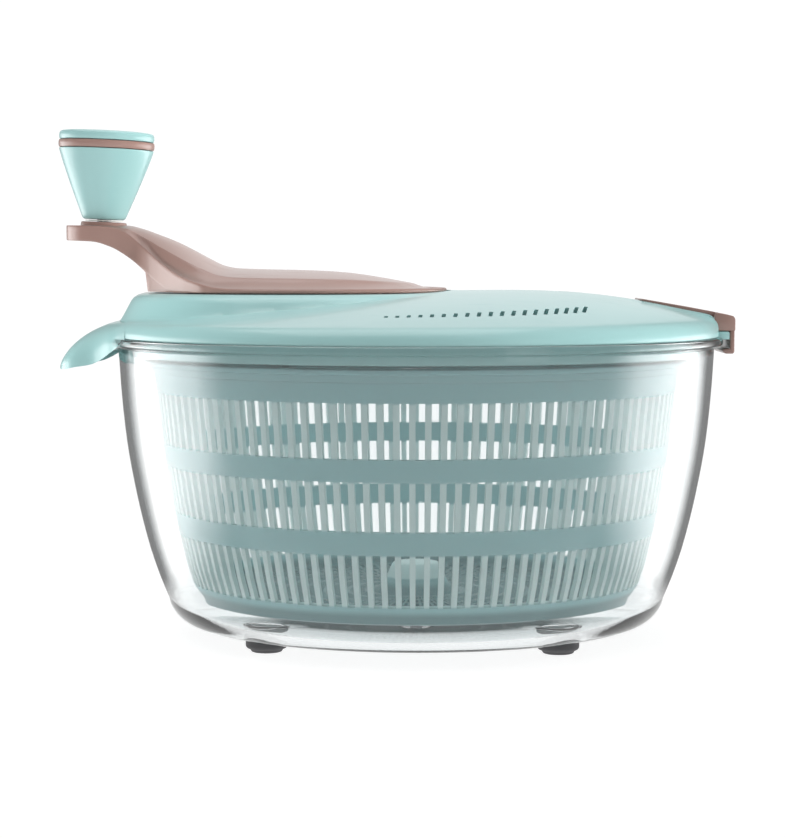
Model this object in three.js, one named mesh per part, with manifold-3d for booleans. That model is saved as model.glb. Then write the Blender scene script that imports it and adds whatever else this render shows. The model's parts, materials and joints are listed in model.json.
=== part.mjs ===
// A crank salad spinner: a clear bowl on four soft feet, a slotted basket that turns on a steel pivot,
// and a hooked lid that carries an off-centre crank, its gear pair and the disc that drives the basket.
// Millimetres, +Z up. The origin is the centre of the bowl's underside, on the bowl's axis.
// -X is the side of the lift tab and the knob, +X is the side of the latch.
import * as THREE from 'three';
import { mergeVertices } from 'three/addons/utils/BufferGeometryUtils.js';
import Module from 'manifold-3d';

const wasm = await Module();
wasm.setup();

// ---------------------------------------------------------------- driving dimensions

const GAP = 0.3; // between pieces that touch in the real object
const WALL = 2.2; // moulded covers
const TURN = Math.PI * 2;

const BOWL = {
  height: 115,
  rimRadius: 125.5,
  topRadius: 120.5,
  taper: 23.6, // how much narrower the side is at the floor
  taperPower: 1.9,
  flange: 2.4,
  wall: 2.4,
  floor: 3.3,
  floorRadius: 87,
  padRadius: 42, // the middle of the underside stands a little proud of the rest
  padDrop: 0.8,
};
const FOOT = { drop: 4.6, radius: 8.2, tipRadius: 6.2, circle: 80, firstAngle: 43, recess: 1.8 };
const PIVOT = { radius: 2.5, bottom: 3.8, top: 18.5, bossRadius: 7, bossTop: 11 };

const BASKET = {
  floorZ: 10.5,
  rimZ: 106.7,
  topRadius: 108,
  taper: 20,
  taperPower: 1.25,
  wall: 2,
  rimRadius: 110.5,
  slots: 22,
  rows: [[17.6, 38], [46.7, 65.7], [74, 94.4]],
};
const DOGS = { count: 6, width: 7, inner: 100.5, outer: 106, bottom: 100, top: 110.6 };

const LID = {
  radius: 122,
  bottom: BOWL.height + GAP,
  edgeZ: 122, // top of the lid's upright edge
  rise: 13, // crown above the edge
  crownX: 40, // the crown lies towards the latch
  crownPower: 2.2,
  skirtInner: 112.5,
  skirtOuter: 114.5,
  skirtBottom: 109,
};
const CRANK_X = -48; // crank axis, off the bowl's axis by the gears' centre distance
const SEAT = { z: 134, radius: 61, recessRadius: 62.5 };

const GEAR = { module: 1.5, crankTeeth: 51, pinionTeeth: 13, bottom: 121, top: 129, backlash: 0.35 };
const COVER = { x: -30, radius: 63, bottom: 117, top: 119, screwRadius: 55 };
const DISC = { radius: 103.5, bottom: 108, top: 110 };

const VENTS = { count: 18, radius: 101.5, from: -97, to: -53, width: 1.8, shortest: 1.6, longest: 7.6 };

const LATCH = { pivotX: 118.5, pivotZ: 121, width: 30, pinRadius: 1.4 };
const TAB = { width: 44 };

const HANDLE = { radius: 60.5, bottom: 134.5, brim: 136.2, crown: 143.2 };
const KNOB = { x: -127, z: 163.6, tilt: THREE.MathUtils.degToRad(2.5), topRadius: 19.2, footRadius: 8.4 };

// ---------------------------------------------------------------- finishes

const finish = (color, roughness, metalness = 0, extra = {}) =>
  new THREE.MeshStandardMaterial({ color, roughness, metalness, ...extra });
const mint = finish(0xa5d3d3, 0.35);
const basketMint = finish(0x8fbcbb, 0.4);
const brown = finish(0xa98379, 0.35);
const clear = finish(0xf1f5f6, 0.05, 0, { transparent: true, opacity: 0.3 });
const rubber = finish(0x4a4a4c, 0.8);
const acetal = finish(0xe9e9e4, 0.45);
const steel = finish(0xb9bcc0, 0.3, 1);

// ---------------------------------------------------------------- solids and booleans

// A closed geometry as a manifold-3d solid with its faces pointing out.
function solidOf(geometry) {
  const bare = geometry.index ? geometry.toNonIndexed() : geometry.clone();
  for (const name of Object.keys(bare.attributes)) {
    if (name !== 'position') bare.deleteAttribute(name);
  }
  const merged = mergeVertices(bare, 1e-3);
  const vertProperties = merged.attributes.position.array;
  const triVerts = new Uint32Array(merged.index.array);
  const made = new wasm.Manifold(new wasm.Mesh({ numProp: 3, vertProperties, triVerts }));
  if (made.volume() > 0) return made;
  for (let i = 0; i < triVerts.length; i += 3) {
    [triVerts[i + 1], triVerts[i + 2]] = [triVerts[i + 2], triVerts[i + 1]];
  }
  return new wasm.Manifold(new wasm.Mesh({ numProp: 3, vertProperties, triVerts }));
}

function geometryOf(solid) {
  const mesh = solid.getMesh();
  return new THREE.BufferGeometry()
    .setAttribute('position', new THREE.BufferAttribute(mesh.vertProperties, 3))
    .setIndex(new THREE.BufferAttribute(mesh.triVerts, 1));
}

const join = (first, ...others) => others.reduce((sum, other) => sum.add(other), first);
const cut = (first, ...others) => others.reduce((rest, other) => rest.subtract(other), first);

// A profile of [radius, height] pairs turned about +Z at (x, y). The profile closes on itself or on the axis.
function turned(profile, segments, x = 0, y = 0, shift = () => 0) {
  const points = profile.map(([r, z]) => new THREE.Vector2(r, z));
  const closed = profile[0][0] > 0 || profile.at(-1)[0] > 0;
  if (closed) points.push(points[0].clone());
  const geometry = new THREE.LatheGeometry(points, segments).rotateX(Math.PI / 2);
  const at = geometry.attributes.position;
  for (let i = 0; i < at.count; i++) {
    const radius = Math.hypot(at.getX(i), at.getY(i));
    at.setXYZ(i, at.getX(i) + x + shift(radius), at.getY(i) + y, at.getZ(i));
  }
  return solidOf(geometry);
}

const post = (radius, bottom, top, segments = 24, x = 0, y = 0) =>
  turned([[0, bottom], [radius, bottom], [radius, top], [0, top]], segments, x, y);
const tube = (inner, outer, bottom, top, segments = 32, x = 0, y = 0) =>
  turned([[inner, bottom], [outer, bottom], [outer, top], [inner, top]], segments, x, y);

function box(x0, x1, y0, y1, z0, z1) {
  const geometry = new THREE.BoxGeometry(x1 - x0, y1 - y0, z1 - z0);
  return solidOf(geometry.translate((x0 + x1) / 2, (y0 + y1) / 2, (z0 + z1) / 2));
}

// A bar along the radius at an angle in degrees, from inner to outer.
function spoke(angle, inner, outer, width, bottom, top) {
  const geometry = new THREE.BoxGeometry(outer - inner, width, top - bottom);
  geometry.translate((inner + outer) / 2, 0, (bottom + top) / 2);
  return solidOf(geometry.rotateZ(THREE.MathUtils.degToRad(angle)));
}

const aroundCircle = (count, make) =>
  Array.from({ length: count }, (_, i) => make((360 / count) * i, i));

// An outline in x and z, extruded along Y between -halfWidth and +halfWidth.
function sideways(outline, halfWidth) {
  const shape = new THREE.Shape(outline.map(([x, z]) => new THREE.Vector2(x, z)));
  const geometry = new THREE.ExtrudeGeometry(shape, { depth: 2 * halfWidth, bevelEnabled: false });
  return solidOf(geometry.rotateX(Math.PI / 2).translate(0, halfWidth, 0));
}

// An outline in x and y, extruded from bottom to top.
function upright(outline, bottom, top) {
  const shape = new THREE.Shape(outline.map(([x, y]) => new THREE.Vector2(x, y)));
  const geometry = new THREE.ExtrudeGeometry(shape, { depth: top - bottom, bevelEnabled: false });
  return solidOf(geometry.translate(0, 0, bottom));
}

function piece(name, solid, material) {
  const mesh = new THREE.Mesh(geometryOf(solid), material);
  mesh.name = name;
  return mesh;
}

const steps = (count) => Array.from({ length: count + 1 }, (_, i) => i / count);

// ---------------------------------------------------------------- bowl

const bowlOuter = (z) => BOWL.topRadius - BOWL.taper * ((BOWL.height - z) / BOWL.height) ** BOWL.taperPower;

function makeBowl() {
  const flangeZ = BOWL.height - BOWL.flange;
  const corner = 12;
  const outerCorner = steps(3).map((t) => {
    const angle = (Math.PI / 2) * t;
    const reach = bowlOuter(corner) - BOWL.floorRadius;
    const z = BOWL.padDrop + (corner - BOWL.padDrop) * (1 - Math.cos(angle));
    return [BOWL.floorRadius + reach * Math.sin(angle), z];
  });
  const outerSide = steps(3).slice(1).map((t) => {
    const z = corner + (flangeZ - corner) * t;
    return [bowlOuter(z), z];
  });
  const rim = [[BOWL.rimRadius, flangeZ], [BOWL.rimRadius, BOWL.height], [BOWL.topRadius - BOWL.wall, BOWL.height]];
  const innerSide = steps(3).slice(1).map((t) => {
    const z = BOWL.height + (corner - BOWL.height) * t;
    return [bowlOuter(z) - BOWL.wall, z];
  });
  const innerCorner = steps(2).slice(1).map((t) => {
    const angle = (Math.PI / 2) * (1 - t);
    const start = BOWL.floorRadius - 1;
    const reach = bowlOuter(corner) - BOWL.wall - start;
    return [start + reach * Math.sin(angle), BOWL.floor + (corner - BOWL.floor) * (1 - Math.cos(angle))];
  });
  const shell = turned(
    [[0, 0], [BOWL.padRadius, 0], [BOWL.padRadius + 1, BOWL.padDrop], ...outerCorner, ...outerSide, ...rim, ...innerSide, ...innerCorner, [0, BOWL.floor]],
    44,
  );
  const boss = turned(
    [[0, 1], [PIVOT.bossRadius + 3, 1], [PIVOT.bossRadius, PIVOT.bossTop - 3], [5.5, PIVOT.bossTop], [0, PIVOT.bossTop]],
    16,
  );
  const pads = footPlaces().map(([x, y]) => post(FOOT.radius + 1.3, 1, BOWL.floor + FOOT.recess - 0.4, 16, x, y));
  const recesses = footPlaces().map(([x, y]) => post(FOOT.radius + GAP, -1, FOOT.recess + GAP, 16, x, y));
  const pinHole = post(PIVOT.radius + GAP, PIVOT.bottom - GAP, PIVOT.bossTop + 1, 12);
  return cut(join(shell, boss, ...pads), ...recesses, pinHole);
}

function footPlaces() {
  return aroundCircle(4, (angle) => {
    const turn = THREE.MathUtils.degToRad(angle + FOOT.firstAngle);
    return [FOOT.circle * Math.cos(turn), FOOT.circle * Math.sin(turn)];
  });
}

// A stepped foot: a wide flange pressed into the recess and a smaller tip that stands on the table.
const makeFoot = ([x, y]) =>
  turned(
    [
      [0, -FOOT.drop],
      [FOOT.tipRadius - 1.2, -FOOT.drop],
      [FOOT.tipRadius, 1.2 - FOOT.drop],
      [FOOT.tipRadius, 2.2 - FOOT.drop],
      [FOOT.radius, 2.4 - FOOT.drop],
      [FOOT.radius, FOOT.recess],
      [0, FOOT.recess],
    ],
    16,
    x,
    y,
  );

const makePivotPin = () =>
  turned(
    [
      [0, PIVOT.bottom],
      [PIVOT.radius, PIVOT.bottom],
      [PIVOT.radius, PIVOT.top - 1.6],
      [PIVOT.radius * 0.7, PIVOT.top - 0.5],
      [0, PIVOT.top],
    ],
    12,
  );

// ---------------------------------------------------------------- basket

const CAP = { bottom: 12, top: 21, bore: PIVOT.radius + GAP, across: 6.6 };

// The six-sided cap runs on the pin, and the basket's socket is keyed on its flats.
const makePivotCap = () =>
  cut(
    post(CAP.across, CAP.bottom, CAP.top, 6),
    post(CAP.bore, CAP.bottom - 1, PIVOT.top + GAP, 12),
  );

const basketOuter = (z) =>
  BASKET.topRadius - BASKET.taper * ((BASKET.rimZ - z) / (BASKET.rimZ - BASKET.floorZ)) ** BASKET.taperPower;

function makeBasket() {
  const { floorZ, rimZ, wall, rows } = BASKET;
  const middles = [(rows[0][1] + rows[1][0]) / 2, (rows[1][1] + rows[2][0]) / 2];
  const heights = [floorZ + 3, ...middles, rimZ - 2.2];
  const outside = heights.map((z) => [basketOuter(z), z]);
  const inside = [...heights].reverse().map((z) => [basketOuter(z) - wall, z]);
  const shell = turned(
    [
      [0, floorZ],
      [basketOuter(floorZ + 3) - 4, floorZ],
      ...outside,
      [BASKET.rimRadius, rimZ - 2.2],
      [BASKET.rimRadius, rimZ],
      [basketOuter(rimZ) - wall, rimZ],
      ...inside,
      [basketOuter(floorZ + 3) - 5.5, floorZ + wall],
      [0, floorZ + wall],
    ],
    BASKET.slots,
  );
  const hub = turned([[0, floorZ], [17, floorZ], [10, 22], [8.8, 24], [0, 24]], 20);
  const socket = post(CAP.across + GAP + 0.2, floorZ - 1, CAP.top + GAP, 6);
  const dogs = aroundCircle(DOGS.count, (angle) =>
    spoke(angle, DOGS.inner, DOGS.outer, DOGS.width, DOGS.bottom, DOGS.top));
  const half = 180 / BASKET.slots;
  const sideSlots = rows.flatMap(([low, high]) =>
    aroundCircle(BASKET.slots, (angle) => {
      const pitch = (TURN * basketOuter(low)) / BASKET.slots;
      return spoke(angle + half, 75, 120, pitch * 0.6, low, high);
    }));
  const floorSlots = aroundCircle(12, (angle) => spoke(angle, 28, 76, 6, floorZ - 2, floorZ + wall + 1));
  return cut(join(shell, hub, ...dogs), socket, ...sideSlots, ...floorSlots);
}

// ---------------------------------------------------------------- lid

const crownZ = (radius) => LID.edgeZ + LID.rise * (1 - (radius / LID.radius) ** LID.crownPower);
const skew = (radius) => Math.max(0, 1 - radius / (LID.radius - 2.4)) * LID.crownX;

function crownSolid(radius, drop, bottom, segments) {
  const arc = steps(4).map((t) => [radius * (1 - t), crownZ(LID.radius * (1 - t)) - drop]);
  return turned([[0, bottom], [radius, bottom], ...arc], segments, 0, 0, skew);
}

// The boss that carries the crank: a flat seat with a rounded, sloping wall.
function bossSolid(inset, drop, bottom, segments) {
  const wall = [[0, 134], [61, 134], [65, 133], [67.6, 130], [72.2, 121]];
  const outline = wall.map(([r, z]) => [Math.max(0, r - inset), z - drop]);
  return turned([...outline.reverse(), [0, outline.at(-1)[1]], [0, bottom], [outline[0][0], bottom]].slice(0, -1)
    .filter(([r, z], i, all) => i === 0 || r !== all[i - 1][0] || z !== all[i - 1][1]), segments, CRANK_X);
}

// The side view of the latch: a thin finger plate inside, a hook that goes under the bowl's rim outside.
const latchOutline = [
  [91.5, 128.6],
  [92, 129.9],
  [124, 124.4],
  [127.4, 123.7],
  [128.2, 122.6],
  [128.2, 109.4],
  [124.8, 109.4],
  [123.4, 110.4],
  [123.4, 111.1],
  [126.4, 111.2],
  [126.4, 118.8],
  [121.4, 118.8],
  [120.6, 119.2],
  [116.6, 119.2],
  [115.4, 122.6],
  [111, 124.3],
];

const ventAngles = steps(VENTS.count - 1).map((t) => VENTS.from + (VENTS.to - VENTS.from) * t);

function makeLidShell() {
  const outer = join(crownSolid(LID.radius, 0, LID.bottom, 44), bossSolid(0, 0, 118, 40));
  const crownHollow = crownSolid(LID.radius - 2.4, WALL, LID.bottom - 2, 32);
  const bossHollow = bossSolid(2.4, WALL, 116, 28);
  const seatCut = post(SEAT.recessRadius, SEAT.z, SEAT.z + 10, 40, CRANK_X);
  const shell = cut(outer, crownHollow, bossHollow, seatCut);

  const skirt = tube(LID.skirtInner, LID.skirtOuter, LID.skirtBottom, 123.2, 44);
  const housing = sideways([[88, 116.4], [121.4, 116.4], [121.4, 124.6], [88, 130.5]], 17.6);
  const ledge = box(118, 125.9, -17.4, 17.4, LID.bottom, 118);
  const latchRoom = join(
    sideways([[90, 118], [131, 118], [131, 140], [90, 140]], LATCH.width / 2 + 0.4),
    sideways([[121.6, 118], [131, 118], [131, 140], [121.6, 140]], 20),
  );
  const pinHole = solidOf(new THREE.CylinderGeometry(1.7, 1.7, 37, 12).translate(LATCH.pivotX, 0, 0))
    .translate([0, 0, LATCH.pivotZ]);

  const screwPosts = coverScrewPlaces().map(([x, y]) => post(3.6, COVER.top + GAP, 132.4, 12, x, y));
  const screwHoles = coverScrewPlaces().map(([x, y]) => post(1.5, COVER.top - 1, 128, 8, x, y));
  const pinionSocket = tube(3.4, 5.6, 129.5, 132.2, 16);
  const bushCollar = tube(10.1, 12.6, 130.6, SEAT.z, 24, CRANK_X);
  const hubHole = post(10.1, 128, 140, 24, CRANK_X);

  const vents = ventAngles.map((angle, i) => {
    const length = VENTS.shortest + ((VENTS.longest - VENTS.shortest) * i) / (VENTS.count - 1);
    return spoke(angle, VENTS.radius - length / 2, VENTS.radius + length / 2, VENTS.width, 119, 136);
  });

  return cut(
    join(shell, skirt, housing, ledge, ...screwPosts, pinionSocket, bushCollar, makeLiftTab()),
    latchRoom,
    pinHole,
    hubHole,
    ...screwHoles,
    ...vents,
  );
}

// A drooping tongue with two side fins. The fins are notched for the bowl's rim and hook under it.
function makeLiftTab() {
  const top = [[-118, 122.4], [-123.5, 121.6], [-128.7, 119.5], [-133.3, 117.2], [-137, 114.4], [-140.8, 110.6],
    [-143.6, 106.8], [-144.8, 103.6]];
  const under = [[-142.6, 103.2], [-137.9, 104.2], [-130.7, 105.4], [-127.6, 106.6], [-124.1, 108.6], [-122.4, 110.3],
    [-122.4, 112.2]];
  const inside = top.slice(1, 7).map(([x, z]) => [x + 1.6, z - 1.9]);
  const leaf = sideways([...top, ...under, [-120.6, 115.4], [-118, 115.4]], TAB.width / 2);
  const hollow = sideways([[-118, 119.6], ...inside, [-140.6, 90], [-118, 90]], TAB.width / 2 - WALL);
  const plan = upright(
    [
      [-100, -30],
      [-121, -TAB.width / 2 - 4],
      [-130, -TAB.width / 2 + 1.5],
      [-139, -TAB.width / 2 + 5],
      [-143.5, -TAB.width / 2 + 11],
      [-145.5, 0],
      [-143.5, TAB.width / 2 - 11],
      [-139, TAB.width / 2 - 5],
      [-130, TAB.width / 2 - 1.5],
      [-121, TAB.width / 2 + 4],
      [-100, 30],
    ],
    80,
    130,
  );
  const tongue = cut(leaf, hollow).intersect(plan);
  const rimNotch = post(BOWL.rimRadius + 1.2, BOWL.height - BOWL.flange - 0.7, LID.bottom, 48);
  return cut(tongue, rimNotch);
}

function coverScrewPlaces() {
  return aroundCircle(4, (angle) => {
    const turn = THREE.MathUtils.degToRad(angle + 45);
    return [COVER.x + COVER.screwRadius * Math.cos(turn), COVER.screwRadius * Math.sin(turn)];
  });
}

function makeGearCover() {
  const plate = post(COVER.radius, COVER.bottom, COVER.top, 36, COVER.x);
  const bushBoss = post(10.5, 112.6, COVER.top, 20);
  const gearRest = tube(10, 12.4, COVER.top - 0.5, GEAR.bottom - GAP, 20, CRANK_X);
  const bushHole = post(7.8, 110, 122, 20);
  const holes = coverScrewPlaces().map(([x, y]) => post(1.8, 115, 121, 10, x, y));
  return cut(join(plate, bushBoss, gearRest), bushHole, ...holes);
}

// A flanged sleeve in the lid's collar, which the crank gear's hub turns in.
const makeCrankBush = () =>
  turned([[8.3, 129.3], [11.6, 129.3], [11.6, 130.3], [9.8, 130.3], [9.8, SEAT.z + 0.1], [8.3, SEAT.z + 0.1]], 24,
    CRANK_X);

// A pan-head screw standing on its head, with a cross recess.
function makeScrew(x, y, headBottom, head, headHeight, shank, tip) {
  const shankZ = headBottom + headHeight;
  const body = turned(
    [[0, headBottom], [head, headBottom], [head, shankZ], [shank, shankZ], [shank, tip - shank], [0, tip]],
    12,
    x,
    y,
  );
  const arm = head * 0.6;
  const depth = headBottom + headHeight * 0.6;
  const cross = join(
    box(x - arm, x + arm, y - 0.4, y + 0.4, headBottom - 1, depth),
    box(x - 0.4, x + 0.4, y - arm, y + arm, headBottom - 1, depth),
  );
  return cut(body, cross);
}

// ---------------------------------------------------------------- gears and basket drive

// A spur gear with involute flanks, thinned by half the backlash. One tooth is centred on +X.
function gearOutline(teeth, flankPoints, addendum) {
  const { module, backlash } = GEAR;
  const pressure = THREE.MathUtils.degToRad(20);
  const pitch = (module * teeth) / 2;
  const base = pitch * Math.cos(pressure);
  const root = pitch - 1.3 * module;
  const tip = pitch + addendum * module;
  const involute = (angle) => Math.tan(angle) - angle;
  const half = (radius) => {
    const atPitch = Math.PI / (2 * teeth) - backlash / 2 / pitch;
    return atPitch + involute(pressure) - involute(Math.acos(Math.min(1, base / radius)));
  };
  const radii = steps(flankPoints - 1).map((t) => root + (tip - root) * t);
  const outline = [];
  for (let tooth = 0; tooth < teeth; tooth++) {
    const middle = (TURN * tooth) / teeth;
    for (const radius of radii) {
      const angle = middle - half(radius);
      outline.push([radius * Math.cos(angle), radius * Math.sin(angle)]);
    }
    for (const radius of [...radii].reverse()) {
      const angle = middle + half(radius);
      outline.push([radius * Math.cos(angle), radius * Math.sin(angle)]);
    }
  }
  return outline;
}

function makeCrankGear() {
  const outline = gearOutline(GEAR.crankTeeth, 2, 0.85).map(([x, y]) => [x + CRANK_X, y]);
  const wheel = upright(outline, GEAR.bottom, GEAR.top);
  const hub = post(8, GEAR.top - 1, SEAT.z + 0.2, 24, CRANK_X);
  const bore = post(5.8, 118, 138, 24, CRANK_X);
  const screwRecess = post(7.2, 118, GEAR.bottom + 3.2, 24, CRANK_X);
  const windows = aroundCircle(5, (angle) => {
    const turn = THREE.MathUtils.degToRad(angle);
    return post(6.5, 118, 132, 10, CRANK_X + 22 * Math.cos(turn), 22 * Math.sin(turn));
  });
  return cut(join(wheel, hub), bore, screwRecess, ...windows);
}

function makePinion() {
  const wheel = upright(gearOutline(GEAR.pinionTeeth, 4, 0.85), GEAR.bottom, GEAR.top);
  const upperPivot = post(3, GEAR.top - 1, 131.4, 16);
  const shaft = post(5, 111.9, GEAR.bottom + 1, 16);
  const spindle = post(4, 105.6, 113, 16);
  const screwHole = post(1.9, 100, 115, 12);
  return cut(join(wheel, upperPivot, shaft, spindle), screwHole);
}

// The disc's notches straddle the basket's dogs; its hub is screwed to the pinion's spindle.
function makeDriveDisc() {
  const plate = post(DISC.radius, DISC.bottom, DISC.top, 36);
  const hub = turned([[0, 105.3], [8.5, 105.3], [10, 109], [8.5, 111.6], [0, 111.6]], 16);
  const bore = post(4.3, 100, 115, 16);
  const notches = aroundCircle(DOGS.count, (angle) =>
    spoke(angle, DOGS.inner - 0.9, 120, DOGS.width + 1.8, 105, 112));
  const windows = aroundCircle(6, (angle) => {
    const turn = THREE.MathUtils.degToRad(angle + 30);
    return post(12.5, 104, 113, 12, 66 * Math.cos(turn), 66 * Math.sin(turn));
  });
  const ribs = aroundCircle(6, (angle) => spoke(angle, 9, 97, 2.4, 105.8, DISC.bottom + 0.5));
  return cut(join(plate, hub, ...ribs), bore, ...notches, ...windows);
}

// ---------------------------------------------------------------- latch

function makeLatch() {
  const hole = solidOf(new THREE.CylinderGeometry(LATCH.pinRadius + GAP, LATCH.pinRadius + GAP, 40, 12)
    .translate(LATCH.pivotX, 0, 0)).translate([0, 0, LATCH.pivotZ]);
  const springRoom = solidOf(new THREE.CylinderGeometry(3.2, 3.2, 7, 16).translate(LATCH.pivotX, 0, 0))
    .translate([0, 0, LATCH.pivotZ]);
  return cut(sideways(latchOutline, LATCH.width / 2), hole, springRoom);
}

const makeLatchPin = () =>
  solidOf(new THREE.CylinderGeometry(LATCH.pinRadius, LATCH.pinRadius, 35, 12).translate(LATCH.pivotX, 0, 0))
    .translate([0, 0, LATCH.pivotZ]);

// The helix round the latch's pin that the spring's wire follows.
class Coil extends THREE.Curve {
  constructor(radius, length, turns) {
    super();
    Object.assign(this, { radius, length, turns });
  }

  getPoint(t, target = new THREE.Vector3()) {
    const angle = TURN * this.turns * t;
    return target.set(this.radius * Math.cos(angle), this.length * (t - 0.5), this.radius * Math.sin(angle));
  }
}

function makeLatchSpring() {
  const section = new THREE.Shape().absarc(0, 0, 0.4, 0, TURN);
  const geometry = new THREE.ExtrudeGeometry(section, {
    curveSegments: 5,
    steps: 24,
    bevelEnabled: false,
    extrudePath: new Coil(2.2, 5, 4),
  });
  return solidOf(geometry.translate(LATCH.pivotX, 0, LATCH.pivotZ));
}

// ---------------------------------------------------------------- crank

// Centre-line stations of the swept arm: x, half width, crown height, brim height, underside height.
const armStations = [
  [-142.4, 4, 160.9, 159.6, 157.4],
  [-141.2, 8.6, 161.9, 160.2, 156.3],
  [-138, 12.2, 162.4, 160.4, 155.8],
  [-132.5, 14.6, 162.6, 160.2, 154.9],
  [-127, 15, 162.6, 159.4, 153.4],
  [-121, 14.4, 162.1, 157.8, 150.6],
  [-115, 14, 160.9, 154.8, 147],
  [-109, 14.6, 159.1, 150.6, 142.4],
  [-103, 18, 156.8, 145.8, 138],
  [-97, 24.6, 154.4, 141.6, 135.4],
  [-91, 33, 151.4, 138.6, 134.9],
  [-85, 42, 148.4, 137.2, 134.9],
  [-78, 48, 145.2, 136.6, 134.9],
  [-68, 48, 143.2, 136.4, 134.9],
];

// A closed skin through rings that all have the same number of points.
function skinned(rings) {
  const around = rings[0].length;
  const vertices = rings.flat();
  const triangles = [];
  rings.slice(1).forEach((_, i) => {
    for (let k = 0; k < around; k++) {
      const a = i * around + k;
      const b = i * around + ((k + 1) % around);
      triangles.push(a, b, b + around, a, b + around, a + around);
    }
  });
  const last = (rings.length - 1) * around;
  for (let k = 1; k < around - 1; k++) {
    triangles.push(0, k + 1, k, last, last + k, last + k + 1);
  }
  const geometry = new THREE.BufferGeometry();
  geometry.setAttribute('position', new THREE.Float32BufferAttribute(vertices.flat(), 3));
  return solidOf(geometry.setIndex(triangles));
}

function makeCrankHandle() {
  const disc = turned(
    [
      [0, HANDLE.bottom],
      [HANDLE.radius - 1, HANDLE.bottom],
      [HANDLE.radius, HANDLE.brim],
      [56, 137.6],
      [50, 140.6],
      [34, 142.4],
      [16, HANDLE.crown],
      [0, HANDLE.crown],
    ],
    40,
    CRANK_X,
  );
  const rings = armStations.map(([x, half, crown, brim, under]) => {
    const shoulder = crown - (crown - brim) * 0.32;
    const right = [[0.45, crown - (crown - brim) * 0.06], [0.78, shoulder], [0.93, brim + 0.4], [1, brim - 0.4],
      [0.94, (brim + under) / 2], [0.82, under + 0.5], [0.6, under]];
    const left = [...right].reverse().map(([w, z]) => [-w, z]);
    return [[0, crown], ...right, ...left].map(([w, z]) => [x, w * half, z]);
  });
  const pad = turned([[0, -6], [10, -6], [9.4, 0], [0, 0]], 24)
    .rotate([0, THREE.MathUtils.radToDeg(KNOB.tilt), 0])
    .translate([KNOB.x, 0, KNOB.z - GAP - 0.7]);
  const stub = post(5.5, 126.5, HANDLE.bottom + 1, 24, CRANK_X);
  const screwHole = post(2.3, 120, 139, 16, CRANK_X);
  const axleHole = post(3.3, -7, 4, 20)
    .rotate([0, THREE.MathUtils.radToDeg(KNOB.tilt), 0])
    .translate([KNOB.x, 0, KNOB.z]);
  return cut(join(disc, skinned(rings), pad, stub), screwHole, axleHole);
}

// ---------------------------------------------------------------- knob, in its own tilted frame

const KNOB_Z = { body: 28.4, band: [28.7, 31.5], cap: [31.8, 36.6] };

function makeKnobGrip() {
  const { topRadius, footRadius } = KNOB;
  const side = [[footRadius, 0], [11.6, 8], [15, 16], [17.8, 23.4], [topRadius, KNOB_Z.body]];
  return turned(
    [[3.35, 0], ...side, [14.5, KNOB_Z.body], [8.6, 12], [3.35, 12]],
    24,
  );
}

const makeKnobBand = () => tube(13, KNOB.topRadius + 0.4, KNOB_Z.band[0], KNOB_Z.band[1], 24);

function makeKnobCap() {
  const [low, high] = KNOB_Z.cap;
  const radius = KNOB.topRadius - 0.1;
  return turned(
    [
      [0, 27],
      [11.8, 27],
      [11.8, low],
      [radius, low],
      [radius, high - 1.8],
      [radius - 0.6, high - 0.6],
      [radius - 2, high],
      [0, high],
    ],
    24,
  );
}

const makeKnobAxle = () =>
  turned([[0, -6.6], [3, -6.6], [3, 12.3], [6, 12.3], [6, 14.2], [5, 15], [0, 15]], 16);

const makeKnobWasher = () => tube(3.4, 7.6, -0.7, -GAP, 16);

// ---------------------------------------------------------------- assembly

const spinner = new THREE.Group();
const footNames = ['foot_back_right', 'foot_back_left', 'foot_front_left', 'foot_front_right'];
const standingOn = footPlaces().map((place, i) => piece(footNames[i], makeFoot(place), rubber));
spinner.add(piece('bowl', makeBowl(), clear), ...standingOn, piece('pivot_pin', makePivotPin(), steel));

spinner.add(piece('pivot_cap', makePivotCap(), acetal), piece('basket', makeBasket(), basketMint));

spinner.add(
  piece('lid_shell', makeLidShell(), mint),
  piece('gear_cover', makeGearCover(), mint),
  piece('crank_bush', makeCrankBush(), acetal),
  piece('pinion_bush', tube(5.3, 7.5, 112.3, COVER.top + 0.6, 20), acetal),
  ...coverScrewPlaces().map(([x, y], i) =>
    piece(`cover_screw_${i + 1}`, makeScrew(x, y, 114.7, 3.2, 2, 1.25, 126), steel)),
);

spinner.add(
  piece('latch', makeLatch(), brown),
  piece('latch_pin', makeLatchPin(), steel),
  piece('latch_spring', makeLatchSpring(), steel),
);

spinner.add(
  piece('crank_gear', makeCrankGear(), acetal),
  piece('pinion', makePinion(), acetal),
  piece('drive_disc', makeDriveDisc(), basketMint),
  piece('drive_screw', makeScrew(0, 0, 102.8, 6, 2.2, 1.6, 113), steel),
);

spinner.add(
  piece('crank_handle', makeCrankHandle(), brown),
  piece('crank_washer', tube(2.4, 6.8, 123, 123.9, 16, CRANK_X), steel),
  piece('crank_screw', makeScrew(CRANK_X, 0, 120.4, 5, 2.3, 2, 137.5), steel),
);

const knob = new THREE.Group();
knob.position.set(KNOB.x, 0, KNOB.z);
knob.rotation.y = KNOB.tilt;
knob.add(
  piece('knob_grip', makeKnobGrip(), mint),
  piece('knob_band', makeKnobBand(), brown),
  piece('knob_cap', makeKnobCap(), mint),
  piece('knob_axle', makeKnobAxle(), steel),
  piece('knob_washer', makeKnobWasher(), acetal),
);
spinner.add(knob);

export default spinner;
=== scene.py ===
"""The looks of a crank salad spinner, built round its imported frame.

Each class makes one sub-assembly: it holds that sub-assembly's sizes in millimetres, builds its meshes with
modelling operators and dresses them. Heights are above the bowl's underside, the bowl's axis is x = y = 0,
-X is the side of the lift tab and the knob, and +X is the side of the latch.
"""

from __future__ import annotations

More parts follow.
